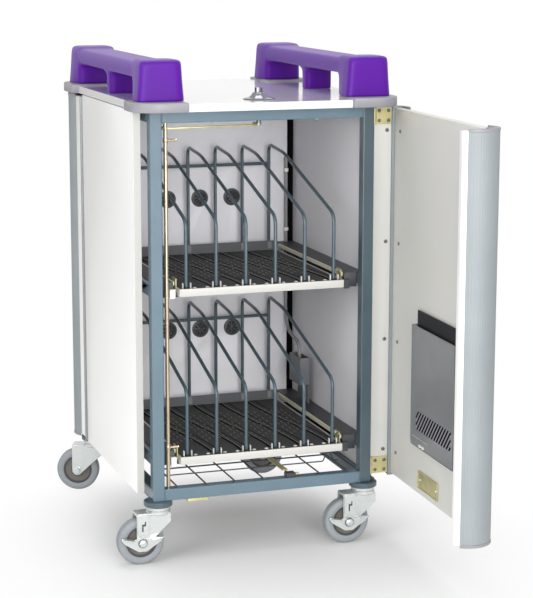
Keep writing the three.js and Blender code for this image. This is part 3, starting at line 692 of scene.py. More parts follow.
def dress(node: str, finish: Finish, ease: float = 0.0, square: bool = False) -> None:
    """Give a CAD node its material and, where asked, rounded edges.

    Args:
        node: The node's name.
        finish: Its material.
        ease: Width of the rounded edges, in millimetres.
        square: Whether the faces stay plain, with edges of that width even beside short ones.
    """
    solid = frame["nodes"][node]
    solid.data.materials.clear()
    solid.data.materials.append(finish.material())
    for face in solid.data.polygons:
        face.use_smooth = ease > 0 and not square
    if ease:
        weld = solid.modifiers.new("joined_points", "WELD")
        weld.merge_threshold = WELD_REACH
        flat = solid.modifiers.new("plain_faces", "DECIMATE")
        flat.decimate_type = "DISSOLVE"
        flat.angle_limit = PLAIN_ANGLE
        bevel = round_edges(solid, ease)
        bevel.harden_normals = not square
        bevel.use_clamp_overlap = not square
    LOG.info("node %s in %s", node, finish.name)


class Assembly:
    """A part of the cart whose pieces ride on a body and share one last move."""

    body: str = ROOT
    placement: Optional[Matrix] = None

    def fit(
        self, draft: Draft, name: str, finish: Finish, ease: float = 0.0, stands_for: str = "",
        body: str = "",
    ) -> bpy.types.Object:
        """Turn a draft into a piece of this assembly.

        Args:
            draft: The drawn mesh.
            name: The piece's name.
            finish: Its material.
            ease: Width of its rounded edges, in millimetres.
            stands_for: The CAD node that it replaces.
            body: The CAD body that it rides on, if not the assembly's own.

        Returns:
            The new object.
        """
        return draft.piece(name, finish, body or self.body, ease, self.placement, stands_for)


@dataclass
class PhotoCamera:
    """The camera that sees the cart as the photograph does, placed on the datum."""

    place: tuple[float, float, float] = (-1231.5, -3635.7, 1279.5)
    yaw: float = 18.78
    pitch: float = -10.70
    roll: float = -0.062
    focal_pixels: float = 1860.2
    sight: float = 60.0

    def build(self) -> None:
        """Make the camera and choose it for the scene."""
        data = bpy.data.cameras.new("photo_camera")
        data.sensor_width = SENSOR_WIDTH
        data.lens = self.focal_pixels / PHOTO_HEIGHT * SENSOR_WIDTH
        data.clip_end = self.sight
        camera = bpy.data.objects.new("photo_camera", data)
        yaw, pitch, roll = (math.radians(v) for v in (self.yaw, self.pitch, self.roll))
        turn = (
            Matrix.Rotation(-yaw, 4, "Z")
            @ Matrix.Rotation(math.pi / 2 + pitch, 4, "X")
            @ Matrix.Rotation(-roll, 4, "Z")
        )
        camera.matrix_world = Matrix.Translation(DATUM.matrix() @ Vector(self.place)) @ turn
        bpy.context.scene.collection.objects.link(camera)
        bpy.context.scene.camera = camera


@dataclass
class Studio:
    """A plain white studio: floor, soft boxes and an even sky."""

    floor_half: float = 20.0
    floor_level: float = -0.0005
    floor_colour: float = 0.88
    shadow_centre: tuple = (-0.02, -0.06)
    shadow_depth: float = 0.9
    shadow_reach: tuple = (0.2, 0.72)
    sky: float = 0.48
    lamps: tuple = (
        ("key", (-3.6, -2.2, 2.2), (0.0, 0.0, 0.55), 2.4, 68.0),
        ("front", (-0.5, -4.6, 1.3), (0.0, 0.0, 0.6), 2.6, 172.0),
        ("overhead", (0.2, 0.4, 4.2), (0.0, 0.0, 0.9), 2.6, 60.0),
    )

    def build(self) -> None:
        """Make the floor, the lamps and the sky."""
        self._floor()
        self._sky()
        for name, place, aim, size, power in self.lamps:
            self._lamp(name, Vector(place), Vector(aim), size, power)
        bpy.context.scene.view_settings.view_transform = "Standard"

    def _floor(self) -> None:
        """Lay the pale floor, which keeps the cart's shadow."""
        half = self.floor_half
        mesh = bpy.data.meshes.new("floor")
        corners = [(-half, -half, 0), (half, -half, 0), (half, half, 0), (-half, half, 0)]
        mesh.from_pydata(corners, [], [(0, 1, 2, 3)])
        mesh.materials.append(self._floor_material())
        floor = bpy.data.objects.new("floor", mesh)
        floor.location.z = self.floor_level
        bpy.context.scene.collection.objects.link(floor)

    def _floor_material(self) -> bpy.types.Material:
        """Make the floor's pale material, which turns plain white away from the cart.

        Returns:
            The new material.
        """
        material = bpy.data.materials.new("floor_pale")
        material.use_nodes = True
        tree = material.node_tree
        link = tree.links.new
        shader = tree.nodes["Principled BSDF"]
        pale = (self.floor_colour,) * 3 + (1,)
        set_inputs(shader, Base_Color=pale, Roughness=0.9, Specular_IOR_Level=0.1)
        white = add_node(tree, "Emission", Color=(1, 1, 1, 1), Strength=1.0)
        place = add_node(tree, "TexCoord")
        x, y = self.shadow_centre
        middle = add_node(tree, "Mapping", Location=(-x, -y, 0), Scale=(1, self.shadow_depth, 1))
        link(place.outputs["Object"], middle.inputs["Vector"])
        reach = add_node(tree, "VectorMath")
        reach.operation = "LENGTH"
        link(middle.outputs["Vector"], reach.inputs[0])
        near, far = self.shadow_reach
        fade = add_node(tree, "MapRange", From_Min=near, From_Max=far)
        fade.interpolation_type = "SMOOTHSTEP"
        link(reach.outputs["Value"], fade.inputs["Value"])
        rays = add_node(tree, "LightPath")
        seen = add_math(tree, "MULTIPLY", rays.outputs["Is Camera Ray"], fade.outputs["Result"])
        mix = add_node(tree, "MixShader")
        link(seen, mix.inputs["Fac"])
        link(shader.outputs["BSDF"], mix.inputs[1])
        link(white.outputs["Emission"], mix.inputs[2])
        link(mix.outputs["Shader"], tree.nodes["Material Output"].inputs["Surface"])
        return material

    def _sky(self) -> None:
        """Make the even sky, white where it is seen straight or in a reflection."""
        world = bpy.data.worlds.new("studio_sky")
        world.use_nodes = True
        bpy.context.scene.world = world
        tree = world.node_tree
        background = tree.nodes["Background"]
        set_inputs(background, Color=(1, 1, 1, 1))
        rays = add_node(tree, "LightPath").outputs
        mirrored = add_math(tree, "MAXIMUM", rays["Is Glossy Ray"], rays["Is Transmission Ray"])
        seen = add_math(tree, "MAXIMUM", rays["Is Camera Ray"], mirrored)
        strength = add_node(tree, "MapRange", To_Min=self.sky, To_Max=1.0)
        tree.links.new(seen, strength.inputs["Value"])
        tree.links.new(strength.outputs["Result"], background.inputs["Strength"])

    def _lamp(self, name: str, place: Vector, aim: Vector, size: float, power: float) -> None:
        """Hang one square soft box.

        Args:
            name: The lamp's name.
            place: Where it hangs, in metres.
            aim: The point that it faces.
            size: Its side.
            power: Its power in watts.
        """
        data = bpy.data.lights.new(name, "AREA")
        data.size = size
        data.energy = power
        lamp = bpy.data.objects.new(name, data)
        lamp.location = place
        lamp.rotation_mode = "QUATERNION"
        lamp.rotation_quaternion = (aim - place).to_track_quat("-Z", "Y")
        bpy.context.scene.collection.objects.link(lamp)


@dataclass
class SteelFrame(Assembly):
    """The ladder frame, its base grid and the small fittings on its rails."""

    tube_ease: float = 2.0
    bead_radius: float = 0.8
    bead_bend: float = 3.0
    bead_lift: tuple = (0.15, 0.2, 0.2)
    plate_radius: float = 30.4
    plate_core: float = 20.0
    plate_height: float = 10.25
    grid_wire: float = 1.7
    grid_pitch: float = 64.0
    grid_count: int = 7
    grid_cross: int = 3
    hump_place: float = 74.0
    hump_wire: float = 1.4
    hump_rise: float = 20.0
    hump_span: tuple = (28.0, 20.0, 12.0, 4.0)
    hump_bend: float = 3.5
    rail_screws: tuple = (-112.0, 118.0)
    rail_screw_shift: float = 6.0
    rail_screw_radius: float = 4.5
    foot_strip: tuple = (-170.0, -122.0)
    foot_reach: tuple = (3.0, 23.0)
    foot_depth: tuple = (6.5, 0.3)
    foot_round: float = 4.0
    catch_bar: tuple = (50.0, 63.0)
    catch_reach: tuple = (26.0, 158.0)
    catch_sheet: float = 2.5
    catch_round: float = 3.0
    catch_block: tuple = ((-10.0, 4.0, 0.0), (11.0, 24.5, 9.0))
    catch_bolt: tuple = ((11.0, 12.0, 5.0), (20.0, 12.0, 5.0))
    catch_bolt_radius: float = 3.2

    def build(self) -> None:
        """Dress the steel and add its fittings."""
        dress("left_side_frame", FRAME_PAINT, self.tube_ease, square=True)
        # The right side frame takes the darker copy of the paint: painted shade.
        dress("right_side_frame", FRAME_PAINTED_SHADE, self.tube_ease, square=True)
        for rail in RAILS:
            dress(rail, FRAME_PAINT, self.tube_ease, square=True)
        self._weld_beads()
        self._castor_plates()
        self._grid()
        self._rail_fittings()

    def _weld_beads(self) -> None:
        """Run a small bead of weld round each rail's ends."""
        beads = Draft()
        lift = Vector(self.bead_lift)
        for rail in RAILS:
            low, high = drawn_box(rail)
            low, high = low - lift, high + lift
            ring = ((low.y, low.z), (high.y, low.z), (high.y, high.z), (low.y, high.z), (low.y, low.z))
            for x in (low.x, high.x):
                beads.sweep(filleted([(x, *p) for p in ring], self.bead_bend, 3), self.bead_radius, 6)
        self.fit(beads, "frame_weld_beads", FRAME_PAINT)

    def _castor_plates(self) -> None:
        """Turn a rounded cover over the round plate above each castor, coloured with the frame paint's darker
        copy as painted shade.
        """
        covers = Draft()
        r, core, top = self.plate_radius, self.plate_core, self.plate_height
        profile = [
            (core, top), (r - 1.2, top), (r, top - 1.05), (r, 1.0),
            (r - 0.8, 0.1), (r - 2.4, 0.1), (core, top),
        ]
        for corner in CORNERS:
            covers.lathe(profile, joint_place(f"{corner}_castor_swivel"), steps=44)
        self.fit(covers, "castor_plate_covers", FRAME_PAINTED_SHADE)

    def _grid(self) -> None:
        """Draw the wire base, with one crossing wire lifted over a hump at its right end."""
        low, high = drawn_box("base_grid")
        wire = self.grid_wire
        level = high.z - wire - 0.2
        under = level - 2 * wire + 0.6
        half = self.grid_pitch * (self.grid_count - 1) / 2
        wires = Draft()
        for i in range(self.grid_count):
            x = -half + i * self.grid_pitch
            wires.rod((x, low.y, level), (x, high.y, level), wire, 12)
        for i in range(1, self.grid_cross + 1):
            y = low.y + (high.y - low.y) * i / (self.grid_cross + 1)
            wires.rod((low.x, y, under), (high.x, y, under), wire, 12)
        self.fit(wires, "base_grid_wires", DARK_STEEL, stands_for="base_grid")
        y = low.y + self.hump_place
        over = level + 2 * wire
        crest = over + self.hump_rise
        start, rise, fall, end = (half - place for place in self.hump_span)
        path = [
            (low.x, y, over), (start, y, over), (rise, y, crest),
            (fall, y, crest), (end, y, over), (high.x, y, over),
        ]
        bent = Draft().sweep(filleted(path, self.hump_bend), self.hump_wire, 10)
        self.fit(bent, "base_grid_hump_wire", DARK_STEEL)

    def _rail_fittings(self) -> None:
        """Add the screws of the top rail, the strip under the bottom rail and the catch."""
        low, high = drawn_box("front_top_rail")
        y = (low.y + high.y) / 2 - self.rail_screw_shift
        screws = Draft()
        for x in self.rail_screws:
            screws.screw((x, y, low.z - 0.1), Axis.Z, -1, self.rail_screw_radius)
        self.fit(screws, "top_rail_screws", BRIGHT_ZINC)
        low, high = drawn_box("front_bottom_rail")
        front, rear = (low.y + reach for reach in self.foot_reach)
        bottom, top = (low.z - depth for depth in self.foot_depth)
        strip = Draft().prism(rounded(*self.foot_strip, front, rear, self.foot_round), bottom, top)
        self.fit(strip, "bottom_rail_foot_strip", YELLOW_ZINC, 0.8)
        self._catch(low.y, high.z + 0.3, drawn_box("base_grid")[1].z + 4.3)

    def _catch(self, front: float, top: float, level: float) -> None:
        """Lay the catch's flat bar on the base grid, with its block and bolt on the front rail.

        Args:
            front: The front of the bottom rail.
            top: The level of the block's underside.
            level: The level of the bar's underside.
        """
        near, far = (front + reach for reach in self.catch_reach)
        outline = rounded(*self.catch_bar, near, far, self.catch_round)
        self.fit(Draft().prism(outline, level, level + self.catch_sheet), "base_catch_bar", YELLOW_ZINC, 0.4)
        corner = Vector((self.catch_bar[1], front, top))
        block = Draft().box(*(corner + Vector(place) for place in self.catch_block))
        self.fit(block, "base_catch_block", DARK_STEEL, 1.5)
        bolt = Draft().rod(*(corner + Vector(place) for place in self.catch_bolt), self.catch_bolt_radius)
        self.fit(bolt, "base_catch_bolt", YELLOW_ZINC, 0.6)


@dataclass
class Cladding(Assembly):
    """The side panels, the top with its caps, and the inner back panel with its grommets."""

    edge_ease: float = 1.0
    cap_ease: float = 2.2
    back_ease: float = 0.5
    lining_place: float = 233.5
    lining_sheet: float = 1.5
    grommet_middle: float = 3.0
    grommet_pitch: float = 78.0
    grommet_levels: tuple = (707.0, 397.0)
    grommet_sleeve: float = 17.6
    grommet_outer: float = 20.5
    grommet_inner: float = 14.0
    leaf_count: int = 8
    leaf_share: float = 0.44
    leaf_tip: float = 3.0

    def build(self) -> None:
        """Dress the boards and add the trim."""
        for _, hand in SIDES:
            dress(f"{hand}_side_panel", WHITE_LAMINATE, self.edge_ease)
        dress("top_panel", TOP_LAMINATE)
        for corner in CORNERS:
            dress(f"{corner}_corner_cap", CAP_PLASTIC, self.cap_ease)
        dress("inner_back_panel", BACK_LAMINATE, self.back_ease)
        self._lining()
        self._edge_bands()
        self._grommets()
        self._slot_shade_strip()

    def _lining(self) -> None:
        """Line the right side with a grey sheet set in the middle of the frame's tubes."""
        post = drawn_box("front_bottom_rail")[1]
        back = drawn_box("inner_back_panel")[0].y
        top = drawn_box("front_top_rail")[0].z
        x = self.lining_place
        sheet = Draft().box((x, post.y + 0.3, post.z + 0.4), (x + self.lining_sheet, back + 12, top - 0.4))
        self.fit(sheet, "right_lining", BACK_LAMINATE, 0.3)

    def _edge_bands(self) -> None:
        """Band the side panels' front edges."""
        for _, hand in SIDES:
            low, high = drawn_box(f"{hand}_side_panel")
            band = Draft().box(
                (low.x + 0.4, low.y - 0.9, low.z + 0.4), (high.x - 0.4, low.y - 0.1, high.z - 0.4),
            )
            self.fit(band, f"{hand}_panel_edge_band", EDGE_BAND, 0.3)

    def _grommets(self) -> None:
        """Set a two-part cable grommet in each hole of the back panel."""
        low, high = drawn_box("inner_back_panel")
        rings, leaves = Draft(), Draft()
        for z in self.grommet_levels:
            for column in (-1, 0, 1):
                centre = (self.grommet_middle + column * self.grommet_pitch, low.y, z)
                self._grommet(rings, leaves, centre, high.y - low.y)
        self.fit(rings, "cable_grommet_rings", RING_PLASTIC)
        self.fit(leaves, "cable_grommet_leaves", BLACK_PLASTIC)

    def _grommet(self, rings: Draft, leaves: Draft, centre: Point, depth: float) -> None:
        """Draw one grommet: a stepped ring and its rubber leaves.

        Args:
            rings: The draft of the rings.
            leaves: The draft of the leaves.
            centre: The hole's middle on the panel's front face.
            depth: The panel's thickness.
        """
        outer, inner, tube = self.grommet_outer, self.grommet_inner, self.grommet_sleeve
        profile = [
            (inner, -2.0), (inner + 2, -3.4), (outer - 3, -3.0), (outer - 0.5, -1.6), (outer, -0.3),
            (tube, -0.3), (tube, depth + 1), (inner + 2, depth + 1), (inner, depth - 1), (inner, -2.0),
        ]
        rings.lathe(profile, centre, Axis.Y, 36)
        pitch = 2 * math.pi / self.leaf_count
        span = pitch * self.leaf_share
        for k in range(self.leaf_count):
            middle = pitch * (k + 0.5)
            outline = [
                (centre[0] + r * math.cos(middle + a), centre[2] + r * math.sin(middle + a))
                for r, a in ((self.leaf_tip, 0), (inner + 1, span), (inner + 1, 0), (inner + 1, -span))
            ]
            leaves.prism(outline, centre[1] + 0.6, centre[1] + 2.2, Axis.Y)

    def _slot_shade_strip(self) -> None:
        """Close the cable slot between the back panel and the right lining with a black strip, painted shade
        for the dark gap.
        """
        low, high = drawn_box("inner_back_panel")
        x0, x1 = high.x + 0.4, self.lining_place - 0.3
        middle = (x0 + x1) / 2
        rim, floor = low.y + 0.6, low.y + 2.2
        channel = [
            (x0, high.y), (x0, rim), (middle - 1.5, floor), (middle + 1.5, floor), (x1, rim), (x1, high.y),
        ]
        trim = Draft().prism(channel, low.z + 1, high.z - 1)
        self.fit(trim, "cable_slot_shade_strip", SLOT_SHADE, 0.4)


@dataclass
class PushHandle(Assembly):
    """One moulded push handle: a bar on two end blocks and a middle foot."""

    side: str
    bar_width: float = 80.0
    bar_drop: float = 5.0
    bar_height: float = 34.0
    block_length: float = 76.0
    foot_width: float = 62.0
    foot_length: float = 36.0
    foot_top: float = 12.0
    top_round: float = 14.0
    gap_round: float = 10.0
    fall: float = 34.0
    sunk: float = 9.0
    widen: float = 1.0
    flare: float = 5.5
    flare_run: float = 0.6
    flare_power: float = 1.5
    voxel: float = 3.2
    smoothing: int = 42

    def __post_init__(self) -> None:
        """Find the handle's corners and the level of its blocks' feet."""
        self.node = f"{self.side}_handle"
        self.low, self.high = drawn_box(self.node)
        self.base = drawn_box("front_left_corner_cap")[1].z + 0.4

    def build(self) -> None:
        """Draw the parts of the moulding, fuse them and smooth their joins."""
        low, high, base = self.low, self.high, self.base
        parts = Draft().prism(self._outline(), low.x, low.x + self.bar_width, Axis.X)
        for front in (low.y, high.y - self.block_length):
            block = rounded(low.x, high.x, front, front + self.block_length, self.top_round, 6)
            parts.prism(block, base - self.sunk, high.z)
        middle, half = (low.y + high.y) / 2, self.foot_length / 2
        left = low.x + (self.bar_width - self.foot_width) / 2
        parts.box(
            (left, middle - half, low.z - self.sunk),
            (left + self.foot_width, middle + half, high.z - self.bar_drop - self.foot_top),
        )
        piece = self.fit(parts, f"{self.node}_moulding", PURPLE_PLASTIC, stands_for=self.node)
        self._fuse(piece)
        self._level_feet(piece)
        self._flare_blocks(piece)

    def _outline(self) -> Outline:
        """Draw the handle's side view: two blocks and the bar that flows from one to the other.

        Returns:
            Points along Y and Z.
        """
        low, high = self.low, self.high
        foot = self.base - self.sunk
        bar_top = high.z - self.bar_drop
        bar_low = bar_top - self.bar_height
        shoulder = self.block_length - self.fall / 2
        front, rear = low.y + shoulder, high.y - shoulder
        crest = [
            (low.y, foot), (low.y, high.z), (front, high.z), (front + self.fall, bar_top),
            (rear - self.fall, bar_top), (rear, high.z), (high.y, high.z), (high.y, foot),
        ]
        front, rear = low.y + self.block_length, high.y - self.block_length
        under = [(rear, foot), (rear, bar_low), (front, bar_low), (front, foot)]
        runs = filleted([(0, *p) for p in crest], self.top_round)
        runs += filleted([(0, *p) for p in under], self.gap_round)
        return [(p.y, p.z) for p in runs]

    def _fuse(self, piece: bpy.types.Object) -> None:
        """Fuse the moulding's parts into one skin with soft joins, and keep the result.

        Args:
            piece: The handle as loose parts.
        """
        fuse = piece.modifiers.new("one_skin", "REMESH")
        fuse.mode = "VOXEL"
        fuse.voxel_size = self.voxel * MM
        fuse.use_smooth_shade = True
        smooth = piece.modifiers.new("soft_joins", "SMOOTH")
        smooth.factor = 0.5
        smooth.iterations = self.smoothing
        graph = bpy.context.evaluated_depsgraph_get()
        skin = bpy.data.meshes.new_from_object(piece.evaluated_get(graph))
        piece.modifiers.clear()
        loose = piece.data
        piece.data = skin
        bpy.data.meshes.remove(loose)
        skin.materials.clear()
        skin.materials.append(PURPLE_PLASTIC.material())
        for face in skin.polygons:
            face.use_smooth = True

    def _level_feet(self, piece: bpy.types.Object) -> None:
        """Cut the smoothed feet level, the blocks on the caps and the middle foot on the top.

        Args:
            piece: The fused handle.
        """
        middle = (DATUM.matrix() @ ((self.low + self.high) / 2)).y
        reach = ((self.high.y - self.low.y) / 2 - self.block_length - self.gap_round) * MM
        on_caps, on_top = self.base * MM, (self.low.z + 0.2) * MM
        for vert in piece.data.vertices:
            foot = on_top if abs(vert.co.y - middle) < reach else on_caps
            vert.co.z = max(vert.co.z, foot)

    def _flare_blocks(self, piece: bpy.types.Object) -> None:
        """Widen the end blocks, most of all at their feet.

        Args:
            piece: The fused handle.
        """
        foot = DATUM.matrix() @ Vector((self.low.x, self.low.y, self.base))
        crest = DATUM.matrix() @ self.high
        middle = (foot + crest) / 2
        start = (crest.y - foot.y) / 2 - self.block_length * MM
        run = self.flare_run * self.block_length * MM
        for vert in piece.data.vertices:
            share = smoothstep((abs(vert.co.y - middle.y) - start) / run)
            down = min(max((crest.z - vert.co.z) / (crest.z - foot.z), 0.0), 1.0)
            extra = share * (self.widen + self.flare * down ** self.flare_power)
            vert.co.x = middle.x + (vert.co.x - middle.x) * (1 + extra / (self.bar_width / 2))


@dataclass
class DoorColumn:
    """A round aluminium corner column with its two end caps."""

    radius: float = 48.0
    inset: float = 38.0
    board: float = 16.0
    gap: float = 0.3
    board_stop: float = 5.0
    hook: float = 6.0
    cap_height: float = 6.0
    cap_gap: float = 0.2
    cap_lip: float = 1.4
    flutes: int = 26
    flute_depth: float = 0.5
    outer_half_width: float = 269.0

    def outline(self, side_x: int, side_y: int, middle_y: float, fluted: bool, lip: float = 0.0) -> Outline:
        """Return the column's section on the datum.

        Args:
            side_x: One for the right of the cart, minus one for the left.
            side_y: One for the rear, minus one for the front.
            middle_y: The round's centre along Y.
            fluted: Whether the round carries its fine flutes.
            lip: How far the round stands out past its radius.

        Returns:
            The section's points.
        """
        face = self.inset + self.gap
        inner = self.inset - self.board - self.gap
        stop = self.inset - self.board - self.board_stop + self.gap
        hook = inner - self.hook
        start = -math.degrees(math.acos(face / self.radius))
        sweep = 90 - 2 * start
        steps = self.flutes * 4 if fluted else 40
        points = []
        for i in range(steps + 1):
            angle = math.radians(start + sweep * i / steps)
            dip = self.flute_depth * abs(math.sin(math.pi * self.flutes * i / steps)) if fluted else 0
            radius = self.radius + lip - self.flute_depth + dip
            points.append((radius * math.cos(angle), radius * math.sin(angle)))
        points += [(stop, face), (stop, inner), (hook, inner), (hook, hook)]
        points += [(inner, hook), (inner, stop), (face, stop)]
        middle_x = self.outer_half_width - self.inset
        return [(side_x * (middle_x + a), middle_y + side_y * b) for a, b in points]

    def build(self, door: Assembly, node: str, side_x: int, side_y: int, middle_y: float) -> None:
        """Draw the fluted metal and its caps in place of a CAD column.

        Args:
            door: The door that carries the column.
            node: The CAD column.
            side_x: One for the right of the cart, minus one for the left.
            side_y: One for the rear, minus one for the front.
            middle_y: The round's centre along Y, with the door closed.
        """
        low, high = drawn_box(node)
        foot, head = low.z + self.cap_height, high.z - self.cap_height
        metal = Draft().prism(self.outline(side_x, side_y, middle_y, True), foot, head)
        door.fit(metal, f"{node}_metal", COLUMN_METAL, stands_for=node)
        section = self.outline(side_x, side_y, middle_y, False, self.cap_lip)
        for end, z0, z1 in (("bottom", low.z, foot - self.cap_gap), ("top", head + self.cap_gap, high.z)):
            door.fit(Draft().prism(section, z0, z1), f"{node}_{end}_cap", CAP_PLASTIC, 1.0)


@dataclass
class FrontDoor(Assembly):
    """The front door, drawn closed and swung open about its hinge."""

    body: str = "front_door"
    inner_half_width: float = 253.0
    inner_face: float = -28.0
    column: DoorColumn = field(default_factory=DoorColumn)
    plate_faces: tuple = (0.3, 3.2)
    plate_screw_insets: tuple = (7.5, 11.0, 8.0)
    screw_levels: tuple = (899.0, 660.0, 446.0, 200.0)
    strip_screw_inset: float = 16.0
    panel_screw_inset: float = 38.0
    pocket_start: float = 155.0
    pocket_length: float = 230.0
    pocket_bottom: float = 254.0
    pocket_top: float = 509.0
    pocket_depth: float = 12.0
    pocket_wall: float = 2.5
    pocket_corner: float = 10.0
    slot_pitch: float = 13.4
    slot_width: float = 7.2
    slot_levels: tuple = (291.0, 331.0)
    slot_margins: tuple = (28.0, 8.0)
    slot_lean: float = 35.0
    ledge_rise: float = 20.0
    ledge_span: tuple = (12.0, 100.0)
    glint_places: tuple = (56.0, 72.0)
    card_start: float = 166.0
    card_length: float = 205.0
    card_top: float = 541.0
    strike_start: float = 174.0
    strike_length: float = 112.0
    strike_levels: tuple = (160.0, 199.0)
    strike_screw_inset: float = 12.0

    def __post_init__(self) -> None:
        """Work out the swing from the record's hinge, and the pocket's place."""
        angle = math.radians(-joint("front_door_hinge")["range_deg"][0])
        axis = joint_place("front_door_hinge")
        self.axis = Vector((axis.x, axis.y, 0))
        self.placement = (
            Matrix.Translation(self.axis) @ Matrix.Rotation(angle, 4, "Z") @ Matrix.Translation(-self.axis)
        )
        self.seat = self.inner_face + 0.3
        self.pocket_right = self.inner_half_width - self.pocket_start
        self.pocket_left = self.pocket_right - self.pocket_length
        self.pocket_front = self.seat + self.pocket_depth

    def build(self) -> None:
        """Dress the boards and add the columns and fittings."""
        dress("front_door_panel", DOOR_LAMINATE, BOARD_EASE)
        dress("front_door_hinge_strip", DOOR_LAMINATE, BOARD_EASE)
        dress("front_door_free_strip", WHITE_LAMINATE, BOARD_EASE)
        middle_y = self.inner_face - self.column.board + self.column.inset
        plain = replace(self.column, cap_lip=0.0)
        plain.build(self, "front_door_hinge_column", 1, -1, middle_y)
        self.column.build(self, "front_door_free_column", -1, -1, middle_y)
        self._outer_skin()
        self._hinge_plates()
        self._screws()
        self._pocket()
        self._strike()

    def _outer_skin(self) -> None:
        """Lay the white outer laminate on the panel between the columns."""
        outer = self.inner_face - self.column.board
        face = self.column.inset + self.column.gap
        start = math.sqrt(self.column.radius ** 2 - (face + 1.0) ** 2)
        half = self.column.outer_half_width - self.column.inset - start - 0.6
        low, high = drawn_box("front_door_panel")
        skin = Draft().box((-half, outer - 0.3, low.z), (half, outer - 1.0, high.z))
        self.fit(skin, "front_door_outer_laminate", WHITE_LAMINATE)

    def _hinge_plates(self) -> None:
        """Draw both pivot plates with their knuckles, and their screws."""
        rear, front = (self.inner_half_width - face for face in self.plate_faces)
        start = self.inner_face + self.column.gap + self.column.hook + 0.4
        near, far, inset = self.plate_screw_insets
        screws = Draft()
        for end in ("top", "bottom"):
            node = f"front_door_hinge_plate_{end}"
            low, high = drawn_box(node)
            outline = rounded(start, self.axis.y - 1, low.z, high.z, 3.5)
            leaf = Draft().prism(outline, rear, front, Axis.X)
            self.fit(leaf, f"{node}_leaf", YELLOW_ZINC, 0.4, stands_for=node)
            profile = sleeve(2.8, 5.0, low.z, high.z, (0.4, 0.5))
            self.fit(Draft().lathe(profile, self.axis, steps=28), f"{node}_knuckle", YELLOW_ZINC)
            for y in (start + near, self.axis.y - far):
                for z in (low.z + inset, high.z - inset):
                    screws.screw((front, y, z), Axis.X, -1)
        self.fit(screws, "front_hinge_plate_screws", SCREW_STEEL)

    def _screws(self) -> None:
        """Set the screws that hold both columns to their strips and to the panel."""
        screws = Draft()
        for z in self.screw_levels:
            for side, _ in SIDES:
                x = side * self.inner_half_width
                on_strip = (x - side * 0.1, self.inner_face + self.strip_screw_inset, z)
                on_panel = (x - side * self.panel_screw_inset, self.inner_face + 0.1, z)
                screws.screw(on_strip, Axis.X, -side, 4.2)
                screws.screw(on_panel, Axis.Y, 1, 4.2)
        self.fit(screws, "front_door_column_screws", SCREW_STEEL)

    def _pocket(self) -> None:
        """Draw the slotted literature pocket and the dark card that stands in it."""
        left, right, wall = self.pocket_left, self.pocket_right, self.pocket_wall
        bottom, top, back = self.pocket_bottom, self.pocket_top, self.seat
        trough = [
            (left, top), (left, bottom), (right, bottom), (right, top), (right - wall, top),
            (right - wall, bottom + wall), (left + wall, bottom + wall), (left + wall, top),
        ]
        shell = Draft().prism(trough, back, self.pocket_front, Axis.Y)
        inset = wall + 0.1
        shell.box((left + inset, back, bottom + inset), (right - inset, back + wall * 0.6, top - 6))
        self.fit(shell, "door_pocket_shell", SMOKE_PLASTIC, 0.6)
        self._pocket_face()
        self._pocket_slots()
        self._pocket_trim()
        edge = self.inner_half_width - self.card_start
        card = Draft().prism(
            rounded(edge - self.card_length, edge, bottom + 6, self.card_top, 2),
            back + wall + 0.6, back + wall + 2.0, Axis.Y,
        )
        self.fit(card, "door_pocket_card", BLACK_PLASTIC, 0.3)

    def _pocket_face(self) -> None:
        """Draw the pocket's front sheet and the rim along its edge."""
        left, right, front = self.pocket_left, self.pocket_right, self.pocket_front
        bottom, corner = self.pocket_bottom, self.pocket_corner
        turn = arc((right - corner, bottom + corner), corner, 270, 360, 6)
        outline = [(left, self.pocket_top), (left, bottom), *turn, (right, self.pocket_top)]
        face = Draft().prism(outline, front - self.pocket_wall, front, Axis.Y)
        self.fit(face, "door_pocket_face", SMOKE_PLASTIC, stands_for="door_pocket")
        self.fit(Draft().rim(outline, front, 0.8), "door_pocket_rim", SMOKE_PLASTIC)

    def _pocket_slots(self) -> None:
        """Draw the row of leaning slots on the pocket's face as near-black strokes, painted shade for the
        openings, with a rib beside each.
        """
        slots, ribs = Draft(), Draft()
        width, front = self.slot_width, self.pocket_front
        start = self.pocket_right - self.slot_margins[0]
        end = self.pocket_left + self.slot_margins[1]
        x = start + self.slot_lean - self.slot_pitch
        while x > end:
            self._slot(slots, x, width, start, end, front + 0.3)
            self._slot(ribs, x - width, self.slot_pitch - width, start, end, front + 0.2)
            x -= self.slot_pitch
        self.fit(slots, "door_pocket_slot_shade", GROOVE_SHADE)
        self.fit(ribs, "door_pocket_slot_ribs", CAP_PLASTIC)

    def _slot(self, draft: Draft, x: float, width: float, start: float, end: float, face: float) -> None:
        """Draw one leaning stroke, cut off upright at both ends of the row.

        Args:
            draft: The draft that takes the stroke.
            x: The stroke's near side at its foot, before it is cut off.
            width: Its width.
            start: The row's start, at the hinge side.
            end: The row's end.
            face: How far the stroke stands out.
        """
        low, high = self.slot_levels
        rise = (high - low) / self.slot_lean
        cut_low = max(x - start, 0)
        cut_high = max(end + width - (x - self.slot_lean), 0)
        if cut_low + cut_high > self.slot_lean * 0.8:
            return
        foot, head = x - cut_low, x - self.slot_lean + cut_high
        base, top = low + cut_low * rise, high - cut_high * rise
        outline = [(foot, base), (foot - width, base), (head - width, top), (head, top)]
        draft.prism(outline, face - 0.6, face, Axis.Y)

    def _pocket_trim(self) -> None:
        """Add the ledge, a thin rod whose light colour is a painted highlight along the lip, and two small
        white marks at the pocket's foot that are painted glints.
        """
        right, front, bottom = self.pocket_right, self.pocket_front, self.pocket_bottom
        near, far = (right - place for place in self.ledge_span)
        ledge, level = bottom + self.ledge_rise, front + 0.4
        # A thin rod along the lip, its light colour a painted highlight.
        line = Draft().rod((near, level, ledge), (far, level, ledge), 0.9, 8)
        self.fit(line, "door_pocket_ledge_highlight", EDGE_BAND)
